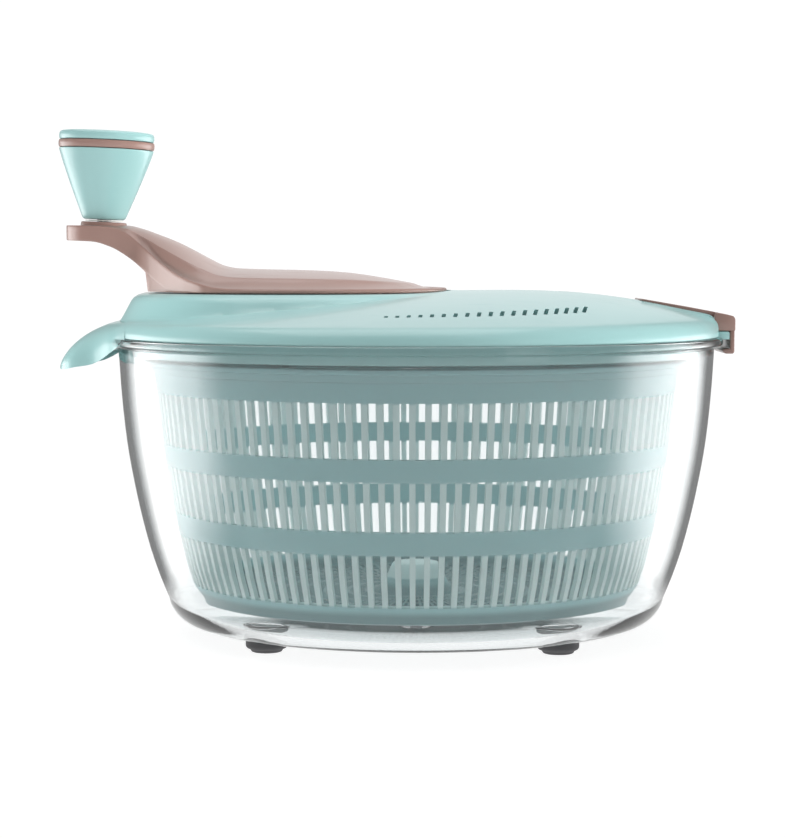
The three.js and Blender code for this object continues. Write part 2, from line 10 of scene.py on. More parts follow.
import json
import logging
import math
from bisect import bisect_right
from collections.abc import Callable, Sequence
from dataclasses import dataclass
from enum import Enum
from typing import Any

import bmesh
import bpy
from mathutils import Matrix, Vector

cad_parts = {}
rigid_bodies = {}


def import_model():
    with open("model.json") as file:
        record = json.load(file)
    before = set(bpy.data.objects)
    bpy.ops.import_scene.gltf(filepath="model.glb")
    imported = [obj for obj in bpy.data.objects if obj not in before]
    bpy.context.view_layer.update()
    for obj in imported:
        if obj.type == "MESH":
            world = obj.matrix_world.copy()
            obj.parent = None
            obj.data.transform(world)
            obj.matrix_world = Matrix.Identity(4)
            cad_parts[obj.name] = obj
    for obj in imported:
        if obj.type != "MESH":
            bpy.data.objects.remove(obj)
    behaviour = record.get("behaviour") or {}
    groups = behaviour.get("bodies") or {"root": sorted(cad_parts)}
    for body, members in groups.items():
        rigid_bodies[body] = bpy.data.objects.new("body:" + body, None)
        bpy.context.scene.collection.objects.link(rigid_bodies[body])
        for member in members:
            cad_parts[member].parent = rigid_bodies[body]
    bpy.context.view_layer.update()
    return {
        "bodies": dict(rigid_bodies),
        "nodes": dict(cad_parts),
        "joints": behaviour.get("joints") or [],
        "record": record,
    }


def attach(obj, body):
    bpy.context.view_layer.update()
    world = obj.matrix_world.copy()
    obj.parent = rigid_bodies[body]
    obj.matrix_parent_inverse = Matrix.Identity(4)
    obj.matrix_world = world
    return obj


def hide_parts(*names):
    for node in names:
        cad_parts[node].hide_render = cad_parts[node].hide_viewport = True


log = logging.getLogger("salad_spinner")

MM = 0.001
MERGE = 0.002 * MM
TURN = math.tau
Pair = tuple[float, float]
Profile = Sequence[Pair]
Point = tuple[float, float, float]
Height = Callable[[float, float], float]
Ring = Callable[[float], Point]
Colour = tuple[float, float, float, float]
Piece = bpy.types.Object
Material = bpy.types.Material


class Slot(Enum):
    """The record's material slots, one of which each finish names."""

    LID = "lid"
    BASKET = "basket"
    HANDLE = "handle"
    BOWL = "bowl"
    RUBBER = "rubber"
    ACETAL = "acetal"
    STEEL = "steel"


class Body(Enum):
    """The moving bodies of the frame that pieces ride on."""

    BOWL = "bowl"
    BASKET = "basket"
    LID = "lid"
    LATCH = "latch"
    CRANK = "crank"
    KNOB = "knob"


# ---- curves


@dataclass(frozen=True)
class Course:
    """A smooth line through known stations that never swings past them."""

    stations: tuple[Pair, ...]

    def _secant(self, index: int) -> float:
        """The straight slope from one station to the next."""
        (x0, y0), (x1, y1) = self.stations[index : index + 2]
        return (y1 - y0) / (x1 - x0)

    def _slope(self, index: int) -> float:
        """The slope of the line where it passes a station."""
        last = len(self.stations) - 1
        if index == 0 or index == last:
            return self._secant(min(index, last - 1))
        before, after = self._secant(index - 1), self._secant(index)
        return 0.0 if before * after <= 0 else 2 * before * after / (before + after)

    def at(self, place: float) -> float:
        """Reads the line.

        Args:
            place: where to read it, held within the first and last stations.

        Returns:
            The line's value there.
        """
        places = [x for x, _ in self.stations]
        place = min(max(place, places[0]), places[-1])
        index = min(bisect_right(places, place) - 1, len(places) - 2)
        (x0, y0), (x1, y1) = self.stations[index : index + 2]
        width = x1 - x0
        t = (place - x0) / width
        return (
            y0 * (1 + 2 * t) * (1 - t) ** 2
            + y1 * t * t * (3 - 2 * t)
            + self._slope(index) * width * t * (1 - t) ** 2
            - self._slope(index + 1) * width * t * t * (1 - t)
        )


def softened(corners: Sequence[Point], steps: int = 4) -> list[Pair]:
    """Rounds the corners of an open line.

    Args:
        corners: the line's corners, each with how far back its rounding starts.
        steps: how many edges each rounding has.

    Returns:
        The points of the rounded line.
    """
    line: list[Pair] = []
    for index, (x, z, back) in enumerate(corners):
        if back <= 0 or index in (0, len(corners) - 1):
            line.append((x, z))
            continue
        here = Vector((x, z))
        before = Vector(corners[index - 1][:2]) - here
        after = Vector(corners[index + 1][:2]) - here
        start = here + before.normalized() * min(back, before.length * 0.499)
        end = here + after.normalized() * min(back, after.length * 0.499)
        for step in range(steps + 1):
            t = step / steps
            point = start * (1 - t) ** 2 + here * 2 * t * (1 - t) + end * t * t
            line.append((point.x, point.y))
    return line


def soft_max(first: float, second: float, width: float) -> float:
    """The larger of two heights, with a fillet of about the given width where they cross."""
    return (first + second + math.hypot(first - second, width)) / 2


def spread(start: float, end: float, count: int) -> list[float]:
    """Evenly spaced places from start to end, both included."""
    return [start + (end - start) * i / (count - 1) for i in range(count)]


# ---- modelling


def deselect() -> None:
    """Leaves object mode's selection empty."""
    for thing in bpy.context.selected_objects:
        thing.select_set(False)
    bpy.context.view_layer.objects.active = None


def activate(body: Piece, *others: Piece) -> None:
    """Selects these objects only, and makes the first one active."""
    deselect()
    for thing in (body, *others):
        thing.select_set(True)
    bpy.context.view_layer.objects.active = body


def settle(body: Piece) -> Piece:
    """Merges doubled vertices, turns the faces outwards and puts the object's place into its mesh."""
    activate(body)
    bpy.ops.object.mode_set(mode="EDIT")
    bpy.ops.mesh.select_all(action="SELECT")
    bpy.ops.mesh.remove_doubles(threshold=MERGE)
    bpy.ops.mesh.delete_loose(use_verts=True, use_edges=True, use_faces=False)
    bpy.ops.mesh.select_all(action="SELECT")
    bpy.ops.mesh.normals_make_consistent(inside=False)
    bpy.ops.object.mode_set(mode="OBJECT")
    bpy.ops.object.transform_apply(location=True, rotation=True, scale=True)
    return body


def smooth(body: Piece, degrees: float = 32) -> Piece:
    """Shades a finished piece smooth, except across edges sharper than the angle."""
    activate(body)
    bpy.ops.object.shade_smooth_by_angle(angle=math.radians(degrees))
    return body


def drawn_line(name: str, points: Sequence[Point]) -> Piece:
    """Draws a line by extruding one vertex from point to point, and stays in edit mode with all selected.

    Args:
        name: the object's name.
        points: the line's points, in millimetres.

    Returns:
        The object.
    """
    deselect()
    first = Vector(points[0]) * MM
    bpy.ops.mesh.primitive_plane_add(size=MM, location=first)
    body = bpy.context.object
    body.name = name
    bpy.ops.object.mode_set(mode="EDIT")
    bpy.ops.mesh.merge(type="CENTER")
    for start, end in zip(points, points[1:]):
        step = (Vector(end) - Vector(start)) * MM
        bpy.ops.mesh.extrude_region_move(TRANSFORM_OT_translate={"value": step})
    bpy.ops.mesh.select_all(action="SELECT")
    return body


def turned(name: str, profile: Profile, steps: int, centre: Pair = (0.0, 0.0)
) -> Piece:
    """Turns a profile of radius and height about an upright axis.

    Args:
        name: the object's name.
        profile: radius and height pairs; a closed wall ends where it starts, or on the axis.
        steps: how many faces go round.
        centre: where the axis stands.

    Returns:
        The object.
    """
    x, y = centre
    body = drawn_line(name, [(x + radius, y, height) for radius, height in profile])
    bpy.ops.mesh.spin(steps=steps, angle=TURN, center=(x * MM, y * MM, 0), axis=(0, 0, 1))
    bpy.ops.object.mode_set(mode="OBJECT")
    return settle(body)


def skin(name: str, rings: Sequence[Ring], around: int) -> Piece:
    """Stretches a grid through rings and merges its seam and its poles.

    Args:
        name: the object's name.
        rings: for each ring, the point at a share of the way round it.
        around: how many faces go round.

    Returns:
        The object.
    """
    deselect()
    bpy.ops.mesh.primitive_grid_add(x_subdivisions=around, y_subdivisions=len(rings) - 1, size=1)
    body = bpy.context.object
    body.name = name
    for vertex in body.data.vertices:
        row = round((vertex.co.y + 0.5) * (len(rings) - 1))
        vertex.co = Vector(rings[row](vertex.co.x + 0.5)) * MM
    return settle(body)


def slab(name: str, outline: Profile, half_width: float, bevel: float, segments: int = 3) -> Piece:
    """Fills an outline in x and z, extrudes it along Y and rounds its sharp edges.

    Args:
        name: the object's name.
        outline: the side view's corners, without the first one again at the end.
        half_width: how far the slab reaches to each side.
        bevel: the width of the rounding, or 0 for none.
        segments: how many faces the rounding has.

    Returns:
        The object.
    """
    body = drawn_line(name, [(x, -half_width, z) for x, z in outline])
    bpy.ops.mesh.edge_face_add()
    bpy.ops.mesh.extrude_region_move(TRANSFORM_OT_translate={"value": (0, 2 * half_width * MM, 0)})
    bpy.ops.mesh.select_all(action="SELECT")
    bpy.ops.mesh.normals_make_consistent(inside=False)
    if bevel:
        bpy.ops.mesh.select_all(action="DESELECT")
        bpy.ops.mesh.edges_select_sharp(sharpness=math.radians(35))
        bpy.ops.mesh.bevel(offset=bevel * MM, segments=segments, affect="EDGES", clamp_overlap=True)
    bpy.ops.object.mode_set(mode="OBJECT")
    return settle(body)


def block(name: str, low: Point, high: Point, bevel: float, segments: int = 2) -> Piece:
    """Adds a box between two corners and rounds its edges."""
    outline = [(low[0], low[2]), (high[0], low[2]), (high[0], high[2]), (low[0], high[2])]
    body = slab(name, outline, (high[1] - low[1]) / 2, bevel, segments)
    body.data.transform(Matrix.Translation((0, (low[1] + high[1]) / 2 * MM, 0)))
    return body


def apply_modifier(body: Piece, kind: str, **settings: Any) -> Piece:
    """Adds a modifier, gives it its settings and applies it.

    Args:
        body: the object that gets it.
        kind: the modifier's type.
        **settings: its properties.

    Returns:
        The same object.
    """
    activate(body)
    bpy.ops.object.modifier_add(type=kind)
    modifier = body.modifiers[-1]
    for key, value in settings.items():
        setattr(modifier, key, value)
    bpy.ops.object.modifier_apply(modifier=modifier.name)
    return body


def joined(name: str, *parts: Piece) -> Piece:
    """Joins objects into one, under one name."""
    activate(*parts)
    if len(parts) > 1:
        bpy.ops.object.join()
    parts[0].name = name
    return parts[0]


def cut_away(body: Piece, *tools: Piece, operation: str = "DIFFERENCE"
) -> Piece:
    """Cuts tools that don't touch each other out of a body, or melts them in, and deletes them."""
    tool = joined("tool", *tools)
    apply_modifier(body, "BOOLEAN", operation=operation, solver="EXACT", object=tool)
    bpy.data.objects.remove(tool)
    return body


def remove_faces(body: Piece, unwanted: Callable[[Vector], bool]) -> None:
    """Selects the faces whose centres are unwanted, given in millimetres, and deletes them."""
    activate(body)
    bpy.ops.object.mode_set(mode="EDIT")
    bpy.ops.mesh.select_mode(type="FACE")
    bpy.ops.mesh.select_all(action="DESELECT")
    mesh = bmesh.from_edit_mesh(body.data)
    for face in mesh.faces:
        face.select_set(unwanted(face.calc_center_median() / MM))
    bmesh.update_edit_mesh(body.data)
    bpy.ops.mesh.delete(type="FACE")
    bpy.ops.mesh.select_mode(type="VERT")
    bpy.ops.object.mode_set(mode="OBJECT")


# ---- finishes


def display(red: int, green: int, blue: int) -> Colour:
    """A colour given in display values from 0 to 255, as the linear colour that shaders take."""

    def linear(value: int) -> float:
        """One display value made linear."""
        share = value / 255
        return share / 12.92 if share <= 0.04045 else ((share + 0.055) / 1.055) ** 2.4

    return (linear(red), linear(green), linear(blue), 1.0)


class Value:
    """A shader socket that takes part in Python's arithmetic, which adds the Math nodes."""

    def __init__(self, tree: Tree, socket: bpy.types.NodeSocket) -> None:
        """Wraps a socket of a tree."""
        self.tree = tree
        self.socket = socket

    def _math(self, operation: str, first: Value | float, second: Value | float) -> Value:
        """Adds one Math node."""
        return self.tree.node("ShaderNodeMath", {"operation": operation}, {0: first, 1: second})

    def __add__(self, other: Value | float) -> Value:
        """The sum."""
        return self._math("ADD", self, other)

    def __sub__(self, other: Value | float) -> Value:
        """The difference."""
        return self._math("SUBTRACT", self, other)

    def __rsub__(self, other: float) -> Value:
        """The difference from a number."""
        return self._math("SUBTRACT", other, self)

    def __mul__(self, other: Value | float) -> Value:
        """The product."""
        return self._math("MULTIPLY", self, other)

    __radd__, __rmul__ = __add__, __mul__


class Tree:
    """A node tree that is filled node by node."""

    def __init__(self, tree: bpy.types.NodeTree) -> None:
        """Takes hold of a tree."""
        self.tree = tree

    def put(self, socket: bpy.types.NodeSocket, value: Any) -> None:
        """Links a value to a socket, or sets the socket's own number or colour."""
        if isinstance(value, Value):
            self.tree.links.new(value.socket, socket)
        else:
            socket.default_value = value

    def node(
        self, kind: str, settings: dict[str, Any], values: dict[int | str, Any], output: int | str = 0
    ) -> Value:
        """Adds a node.

        Args:
            kind: the node's type.
            settings: its own properties, set before its sockets; stops are a ramp's first and last.
            values: what goes into its sockets, by name or number.
            output: which of its sockets to hand back.

        Returns:
            The chosen output.
        """
        node = self.tree.nodes.new(kind)
        for key, setting in settings.items():
            if key == "stops":
                for element, (at, shade) in zip(node.color_ramp.elements, setting):
                    element.position = at
                    element.color = (shade, shade, shade, 1.0)
            else:
                setattr(node, key, setting)
        for key, value in values.items():
            self.put(node.inputs[key], value)
        return Value(self, node.outputs[output])

    def step(self, value: Value, start: float, end: float) -> Value:
        """Rises smoothly from 0 to 1 as a value goes from start to end."""
        values = {"Value": value, "From Min": start, "From Max": end}
        return self.node("ShaderNodeMapRange", {"interpolation_type": "SMOOTHSTEP"}, values)


class Recipe(Tree):
    """One material's node tree, round its main shader."""

    def __init__(self, name: str) -> None:
        """Starts a material with only its shader and its object coordinates."""
        self.material = bpy.data.materials.new(name)
        self.material.use_nodes = True
        super().__init__(self.material.node_tree)
        self.shader = self.tree.nodes["Principled BSDF"]
        self.place = self.node("ShaderNodeTexCoord", {}, {}, output="Object")

    def noise(self, scale: float, detail: float = 2.0, stretch: Point = (1.0, 1.0, 1.0)) -> Value:
        """Cloudy noise over the piece, from 0 to 1.

        Args:
            scale: how many clouds there are to a metre.
            detail: how many finer layers it has.
            stretch: how the coordinates are scaled along each axis.

        Returns:
            The noise.
        """
        place = self.node("ShaderNodeMapping", {}, {"Vector": self.place, "Scale": stretch})
        return self.node("ShaderNodeTexNoise", {}, {"Vector": place, "Scale": scale, "Detail": detail})

    def ramp(self, value: Value, low: Pair, high: Pair) -> Value:
        """Bends a value through a ramp from one stop to another, each a place and a shade."""
        return self.node("ShaderNodeValToRGB", {"stops": (low, high)}, {0: value})

    def blend(self, share: Value | float, first: Value | Colour, second: Value | Colour) -> Value:
        """Mixes two colours."""
        return self.node("ShaderNodeMix", {"data_type": "RGBA"}, {0: share, 6: first, 7: second}, output=2)

    def bump(self, height: Value, depth: float, strength: float = 1.0) -> None:
        """Gives the shader a relief of the given depth in millimetres."""
        relief = self.node(
            "ShaderNodeBump", {}, {"Height": height, "Distance": depth * MM, "Strength": strength}
        )
        self.put(self.shader.inputs["Normal"], relief)

    def finish(self, **values: Any) -> Material:
        """Sets the shader's sockets, named with underscores for spaces, and hands back the material."""
        for key, value in values.items():
            self.put(self.shader.inputs[key.replace("_", " ")], value)
        return self.material


@dataclass(frozen=True)
class Finish:
    """What a piece is made of: the material's name, the record's slot and the main colour."""

    name: str
    slot: Slot
    colour: Colour

    def material(self) -> Material:
        """Makes the material."""
        raise NotImplementedError


@dataclass(frozen=True)
class Moulded(Finish):
    """Opaque moulded plastic with a faint flow mottle, a fine eroded grain and light handling scuffs.

    Its colour can carry a painted highlight, paler on the ribs in rows between two heights, and painted
    shade, darker below a height.
    """

    deep: Colour
    roughness: float = 0.32
    grain: float = 0.012
    coat: float = 0.15
    glow: float = 0.0
    painted_highlight_rows: tuple[Pair, ...] = ()
    painted_highlight_colour: Colour = (1.0, 1.0, 1.0, 1.0)
    painted_shade_below: float = -math.inf
    margin: float = 0.3
    fade: float = 1.2

    def material(self) -> Material:
        """Makes the material."""
        recipe = Recipe(self.name)
        flow = recipe.noise(9.0, 3.0, (1.0, 1.0, 2.2))
        fine = recipe.noise(1400.0, 2.0)
        scuff = recipe.ramp(recipe.noise(60.0, 6.0, (1.0, 3.0, 1.0)), (0.56, 0.0), (0.74, 1.0))
        recipe.bump(fine + scuff * 0.3, self.grain)
        colour = recipe.blend(flow * 0.2 + fine * 0.07, self.colour, self.deep)
        # Painted highlight: the ribs between the slots of these rows are painted paler, standing in for
        # light that shines off and through them.
        if self.painted_highlight_rows:
            z = recipe.node("ShaderNodeSeparateXYZ", {}, {0: recipe.place}, output="Z")
            thin: Value | float = 0.0
            for row in self.painted_highlight_rows:
                low, high = (row[0] - self.margin) * MM, (row[1] + self.margin) * MM
                rising = recipe.step(z, low, low + self.fade * MM)
                thin = thin + rising * recipe.step(z, high, high - self.fade * MM)
            colour = recipe.blend(thin * 0.95, colour, self.painted_highlight_colour)
            # Painted shade: below this height the colour darkens towards deep, standing in for the shadow on
            # the basket's lower curve.
            end, soft = self.painted_shade_below * MM, 1.5 * MM
            colour = recipe.blend(recipe.step(z, end + soft, end - soft), colour, self.deep)
        return recipe.finish(
            Base_Color=colour,
            Roughness=self.roughness + (flow - 0.5) * 0.06 + scuff * 0.07,
            IOR=1.46,
            Coat_Weight=self.coat,
            Coat_Roughness=0.12,
            Subsurface_Weight=self.glow,
            Subsurface_Radius=(1.0, 1.15, 1.15),
            Subsurface_Scale=0.004,
        )


@dataclass(frozen=True)
class Clear(Finish):
    """Clear polished plastic with the faint haze and hairlines of use."""

    def material(self) -> Material:
        """Makes the material."""
        recipe = Recipe(self.name)
        haze = recipe.noise(22.0, 4.0)
        lines = recipe.ramp(recipe.noise(160.0, 3.0, (1.0, 1.0, 14.0)), (0.62, 0.0), (0.72, 1.0))
        recipe.bump(lines, 0.002, 0.3)
        return recipe.finish(
            Base_Color=recipe.blend(haze, self.colour, display(252, 254, 254)),
            Roughness=0.015 + haze * 0.02 + lines * 0.05,
            IOR=1.46,
            Transmission_Weight=1.0,
        )


@dataclass(frozen=True)
class Rubber(Finish):
    """Soft dark rubber with a powdery grain."""

    def material(self) -> Material:
        """Makes the material."""
        recipe = Recipe(self.name)
        dust = recipe.noise(120.0, 4.0)
        grain = recipe.noise(900.0, 2.0)
        recipe.bump(grain, 0.03)
        return recipe.finish(
            Base_Color=recipe.blend(dust * 0.5, self.colour, display(104, 104, 106)),
            Roughness=0.62 + dust * 0.2,
        )


@dataclass(frozen=True)
class Acetal(Finish):
    """White low-friction plastic with turning marks."""

    def material(self) -> Material:
        """Makes the material."""
        recipe = Recipe(self.name)
        cloud = recipe.noise(40.0, 3.0)
        marks = recipe.noise(300.0, 2.0, (1.0, 1.0, 6.0))
        recipe.bump(marks, 0.01)
        return recipe.finish(
            Base_Color=recipe.blend(cloud * 0.6, self.colour, display(214, 213, 205)),
            Roughness=0.38 + marks * 0.14,
        )


@dataclass(frozen=True)
class Plated(Finish):
    """Plated steel with a fine drawn grain."""

    def material(self) -> Material:
        """Makes the material."""
        recipe = Recipe(self.name)
        drawn = recipe.noise(700.0, 3.0, (1.0, 1.0, 0.08))
        stain = recipe.noise(70.0, 3.0)
        recipe.bump(drawn, 0.006)
        return recipe.finish(
            Base_Color=recipe.blend(stain * 0.6, self.colour, display(158, 160, 163)),
            Metallic=1.0,
            Roughness=0.22 + drawn * 0.16,
        )


LID_MINT = Moulded(
    "mint_plastic", Slot.LID, display(162, 205, 204), display(153, 197, 197), 0.30, 0.008, 0.25
)
BASKET_ROWS = ((17.8, 38.1), (46.7, 65.7), (74.0, 95.0))
BASKET_MINT = Moulded(
    "basket_plastic",
    Slot.BASKET,
    display(162, 204, 206),
    display(112, 146, 148),
    roughness=0.4,
    coat=0.0,
    glow=0.35,
    # Painted highlight on the ribs of the slot rows.
    painted_highlight_rows=BASKET_ROWS,
    painted_highlight_colour=display(216, 238, 236),
    # Painted shade on the lowest band, below this height.
    painted_shade_below=15.5,
)
DISC_MINT = Moulded(
    "disc_plastic", Slot.BASKET, display(158, 200, 202), display(148, 190, 193), 0.42, coat=0.0
)
HANDLE_BROWN = Moulded(
    "brown_plastic", Slot.HANDLE, display(163, 131, 122), display(154, 122, 113), 0.3, 0.01, 0.2
)
BOWL_CLEAR = Clear("clear_plastic", Slot.BOWL, display(246, 250, 251))
FOOT_RUBBER = Rubber("foot_rubber", Slot.RUBBER, display(74, 74, 76))
WHITE_ACETAL = Acetal("white_acetal", Slot.ACETAL, display(232, 231, 225))
PLATED_STEEL = Plated("plated_steel", Slot.STEEL, display(190, 192, 196))


class Wardrobe:
    """Makes each finish once and dresses pieces and frame nodes in it."""

    def __init__(self, frame: dict[str, Any]) -> None:
        """Keeps the frame's nodes at hand."""
        self.nodes = frame["nodes"]
        self.made: dict[str, Material] = {}

    def material(self, finish: Finish) -> Material:
        """The finish's material, made on first use."""
        if finish.name not in self.made:
            self.made[finish.name] = finish.material()
        return self.made[finish.name]

    def dress(self, piece: Piece, finish: Finish, body: Body, *stands_for: str) -> None:
        """Gives a finished piece its material and its body, and hides the frame nodes that it stands for.

        Args:
            piece: the new piece.
            finish: what it is made of.
            body: what it moves with.
            *stands_for: the frame nodes that it replaces.
        """
        piece.data.materials.clear()
        piece.data.materials.append(self.material(finish))
        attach(piece, body.value)
        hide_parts(*stands_for)
        log.info("%s: %d faces, on %s", piece.name, len(piece.data.polygons), body.value)

    def dress_nodes(self, finish: Finish, *names: str) -> None:
        """Dresses nodes that the frame already shows as they are."""
        for name in names:
            slots = self.nodes[name].data.materials
            slots.clear()
            slots.append(self.material(finish))
            log.info("%s: kept, in %s", name, finish.name)


# ---- bowl


@dataclass
class Bowl:
    """The clear bowl with its rolled rim, its feet and the boss that holds the pivot pin."""

    height: float = 116.2
    wall: float = 2.4
    floor: float = 3.3
    steps: int = 160
    rim: float = 124.4
    flat: float = 89.5
    foot_circle: float = 80.0
    feet: tuple[tuple[str, float], ...] = (
        ("foot_back_right", 43.0),
        ("foot_back_left", 133.0),
        ("foot_front_left", 223.0),
        ("foot_front_right", 313.0),
    )
    side: Course = Course(
        (
            (12.6, 101.9), (20.0, 104.9), (34.0, 109.4), (55.4, 114.4), (75.4, 117.8), (95.4, 119.8),
            (115.0, 121.0),
        )
    )

    def build(self, wardrobe: Wardrobe) -> None:
        """Makes and dresses the bowl, its feet and the pin."""
        wardrobe.dress(self.shell(), BOWL_CLEAR, Body.BOWL, "bowl")
        for name, direction in self.feet:
            wardrobe.dress(self.foot(name, direction), FOOT_RUBBER, Body.BOWL, name)
        wardrobe.dress_nodes(PLATED_STEEL, "pivot_pin")

    def shell(self) -> Piece:
        """Turns the bowl's wall, joins the boss and the foot sockets to it and rounds the corners."""
        outside = [(self.side.at(z), z, 0.0) for z in spread(15.0, 109.0, 18)]
        inside = [(self.side.at(z) - self.wall, z, 0.0) for z in spread(111.0, 18.0, 18)]
        corner_out = [
            (self.flat + 12.0 * math.sin(a), 0.6 + 13.0 * (1 - math.cos(a)), 0.0)
            for a in spread(0.0, math.radians(80), 9)
        ]
        corner_in = [
            (self.flat - 1.0 + 11.4 * math.sin(a), self.floor + 11.6 * (1 - math.cos(a)), 0.0)
            for a in spread(math.radians(80), 0.0, 8)
        ]
        rim = [
            (self.side.at(111.6), 112.6, 0.8),
            (self.rim - 0.6, 113.1, 0.5),
            (self.rim, 114.0, 0.7),
            (self.rim - 0.5, self.height, 0.8),
            (121.0, self.height, 0.6),
            (118.3, self.height, 0.9),
        ]
        boss = [(9.6, self.floor, 1.5), (7.2, 8.0, 1.0), (5.6, 11.0, 0.6), (2.8, 11.0, 0.2)]
        pad = [(0.0, 0.0, 0.0), (42.0, 0.0, 0.4), (43.0, 0.6, 0.4)]
        hole = [(2.8, 3.6, 0.0), (0.0, 3.6, 0.0)]
        line = [*pad, *corner_out, *outside, *rim, *inside, *corner_in, *boss, *hole]
        shell = turned("clear_bowl", softened(line), self.steps)
        socket = softened(
            [
                (7.4, 2.4, 0.0),
                (7.6, self.floor + 1.1, 0.5),
                (8.6, self.floor + 1.3, 0.5),
                (9.8, 2.4, 0.0),
                (7.4, 2.4, 0.0),
            ]
        )
        pocket = [(0.0, -2.0), (8.3, -2.0), (8.3, 1.3), (0.0, 1.3)]
        shell = cut_away(shell, *self.at_feet(socket), operation="UNION")
        return smooth(cut_away(shell, *self.at_feet(pocket)), 40)

    def at_feet(self, profile: Profile) -> list[Piece]:
        """Turns the same profile at each foot."""
        return [turned("foot_tool", profile, 48, self.foot_place(direction)) for _, direction in self.feet]

    def foot_place(self, degrees: float) -> Pair:
        """Where a foot stands, from its direction."""
        turn = math.radians(degrees)
        return (self.foot_circle * math.cos(turn), self.foot_circle * math.sin(turn))

    def foot(self, name: str, direction: float) -> Piece:
        """Turns one stepped foot, with a dished sole."""
        profile = softened(
            [
                (0.0, -4.3, 0.0), (3.6, -4.3, 0.3), (4.2, -4.6, 0.2), (5.8, -4.6, 0.6), (6.2, -4.0, 0.3),
                (6.5, -3.3, 0.3), (7.6, -3.1, 0.4), (8.2, -2.2, 0.5), (8.2, 1.2, 0.4), (0.0, 1.2, 0.0),
            ],
            3,
        )
        return smooth(turned(f"soft_{name}", profile, 40, self.foot_place(direction)), 40)


# ---- basket


@dataclass
class Basket:
    """The slotted basket: three rows of upright slots, a slotted floor, and the hub on the pivot."""

    ribs: int = 112
    columns: int = 5
    slot_columns: int = 3
    wall: float = 1.9
    floor: float = 10.5
    rows: tuple[Pair, ...] = BASKET_ROWS
    side: Course = Course(
        (
            (13.5, 88.6), (17.4, 91.2), (37.4, 96.8), (55.4, 100.3), (73.4, 103.0), (94.4, 105.4),
            (106.7, 107.2),
        )
    )
    floor_rings: tuple[Pair, ...] = (
        (21.0, 27.0), (29.0, 36.0), (38.0, 45.0), (47.0, 54.0), (56.0, 63.0), (65.0, 72.0), (74.0, 81.0),
    )

    def build(self, wardrobe: Wardrobe) -> None:
        """Makes and dresses the basket and its pivot cap."""
        basket = joined("slotted_basket", self.shell(), self.rim(), self.hub(), *self.dogs())
        wardrobe.dress(smooth(basket, 30), BASKET_MINT, Body.BASKET, "basket")
        wardrobe.dress_nodes(WHITE_ACETAL, "pivot_cap")

    def shell(self) -> Piece:
        """Turns the wall and the floor, deletes the slots and gives the rest its thickness."""
        heights = sorted({z for row in self.rows for z in row} | set(spread(16.0, 105.0, 10)))
        floor = sorted({r for ring in self.floor_rings for r in ring} | {18.0, 84.0})
        profile = [(r, self.floor) for r in floor] + [(86.6, 11.3), (88.2, 13.2)]
        profile += [(self.side.at(z), z) for z in heights]
        body = turned("basket_shell", profile, self.ribs * self.columns)
        remove_faces(body, self.in_slot)
        return apply_modifier(body, "SOLIDIFY", thickness=self.wall * MM, offset=-1.0, use_even_offset=True)

    def in_slot(self, centre: Vector) -> bool:
        """Tells whether a face lies in a slot of the wall or of the floor.

        Args:
            centre: the face's centre.

        Returns:
            True where the basket is open.
        """
        radius = math.hypot(centre.x, centre.y)
        column = int(math.atan2(centre.y, centre.x) / TURN * self.ribs * self.columns) % self.columns
        if centre.z < self.floor + 0.1:
            ring = any(low < radius < high for low, high in self.floor_rings)
            return ring and column < self.slot_columns
        return column < self.slot_columns and any(low < centre.z < high for low, high in self.rows)

    def rim(self) -> Piece:
        """Turns the thickened rim with its outer lip."""
        profile = softened(
            [
                (105.0, 102.4, 0.0), (107.4, 102.6, 0.5), (107.9, 105.2, 0.3), (110.2, 105.5, 0.4),
                (110.5, 107.3, 0.5), (109.6, 107.9, 0.3), (105.2, 107.9, 0.4), (105.0, 102.4, 0.0),
            ],
            2,
        )
        return turned("basket_rim", profile, 160)

    def hub(self) -> Piece:
        """Turns the cone that stands on the pivot cap."""
        profile = softened(
            [
                (7.4, 10.5, 0.0), (18.6, 10.5, 0.2), (18.6, 12.4, 0.6), (13.4, 15.0, 2.0),
                (10.4, 22.0, 1.0), (9.0, 24.0, 0.8), (0.0, 24.0, 0.0), (0.0, 21.4, 0.0), (7.4, 21.4, 0.3),
                (7.4, 10.5, 0.0),
            ],
            3,
        )
        return turned("basket_hub", profile, 48)

    def dogs(self) -> list[Piece]:
        """Makes the dogs inside the rim that the drive disc's notches take hold of."""
        made = []
        for turn in range(6):
            dog = block(f"basket_dog_{turn}", (100.5, -3.5, 100.0), (106.0, 3.5, 110.6), 0.7)
            dog.data.transform(Matrix.Rotation(math.radians(60 * turn), 4, "Z"))
            made.append(dog)
        return made


# ---- lid


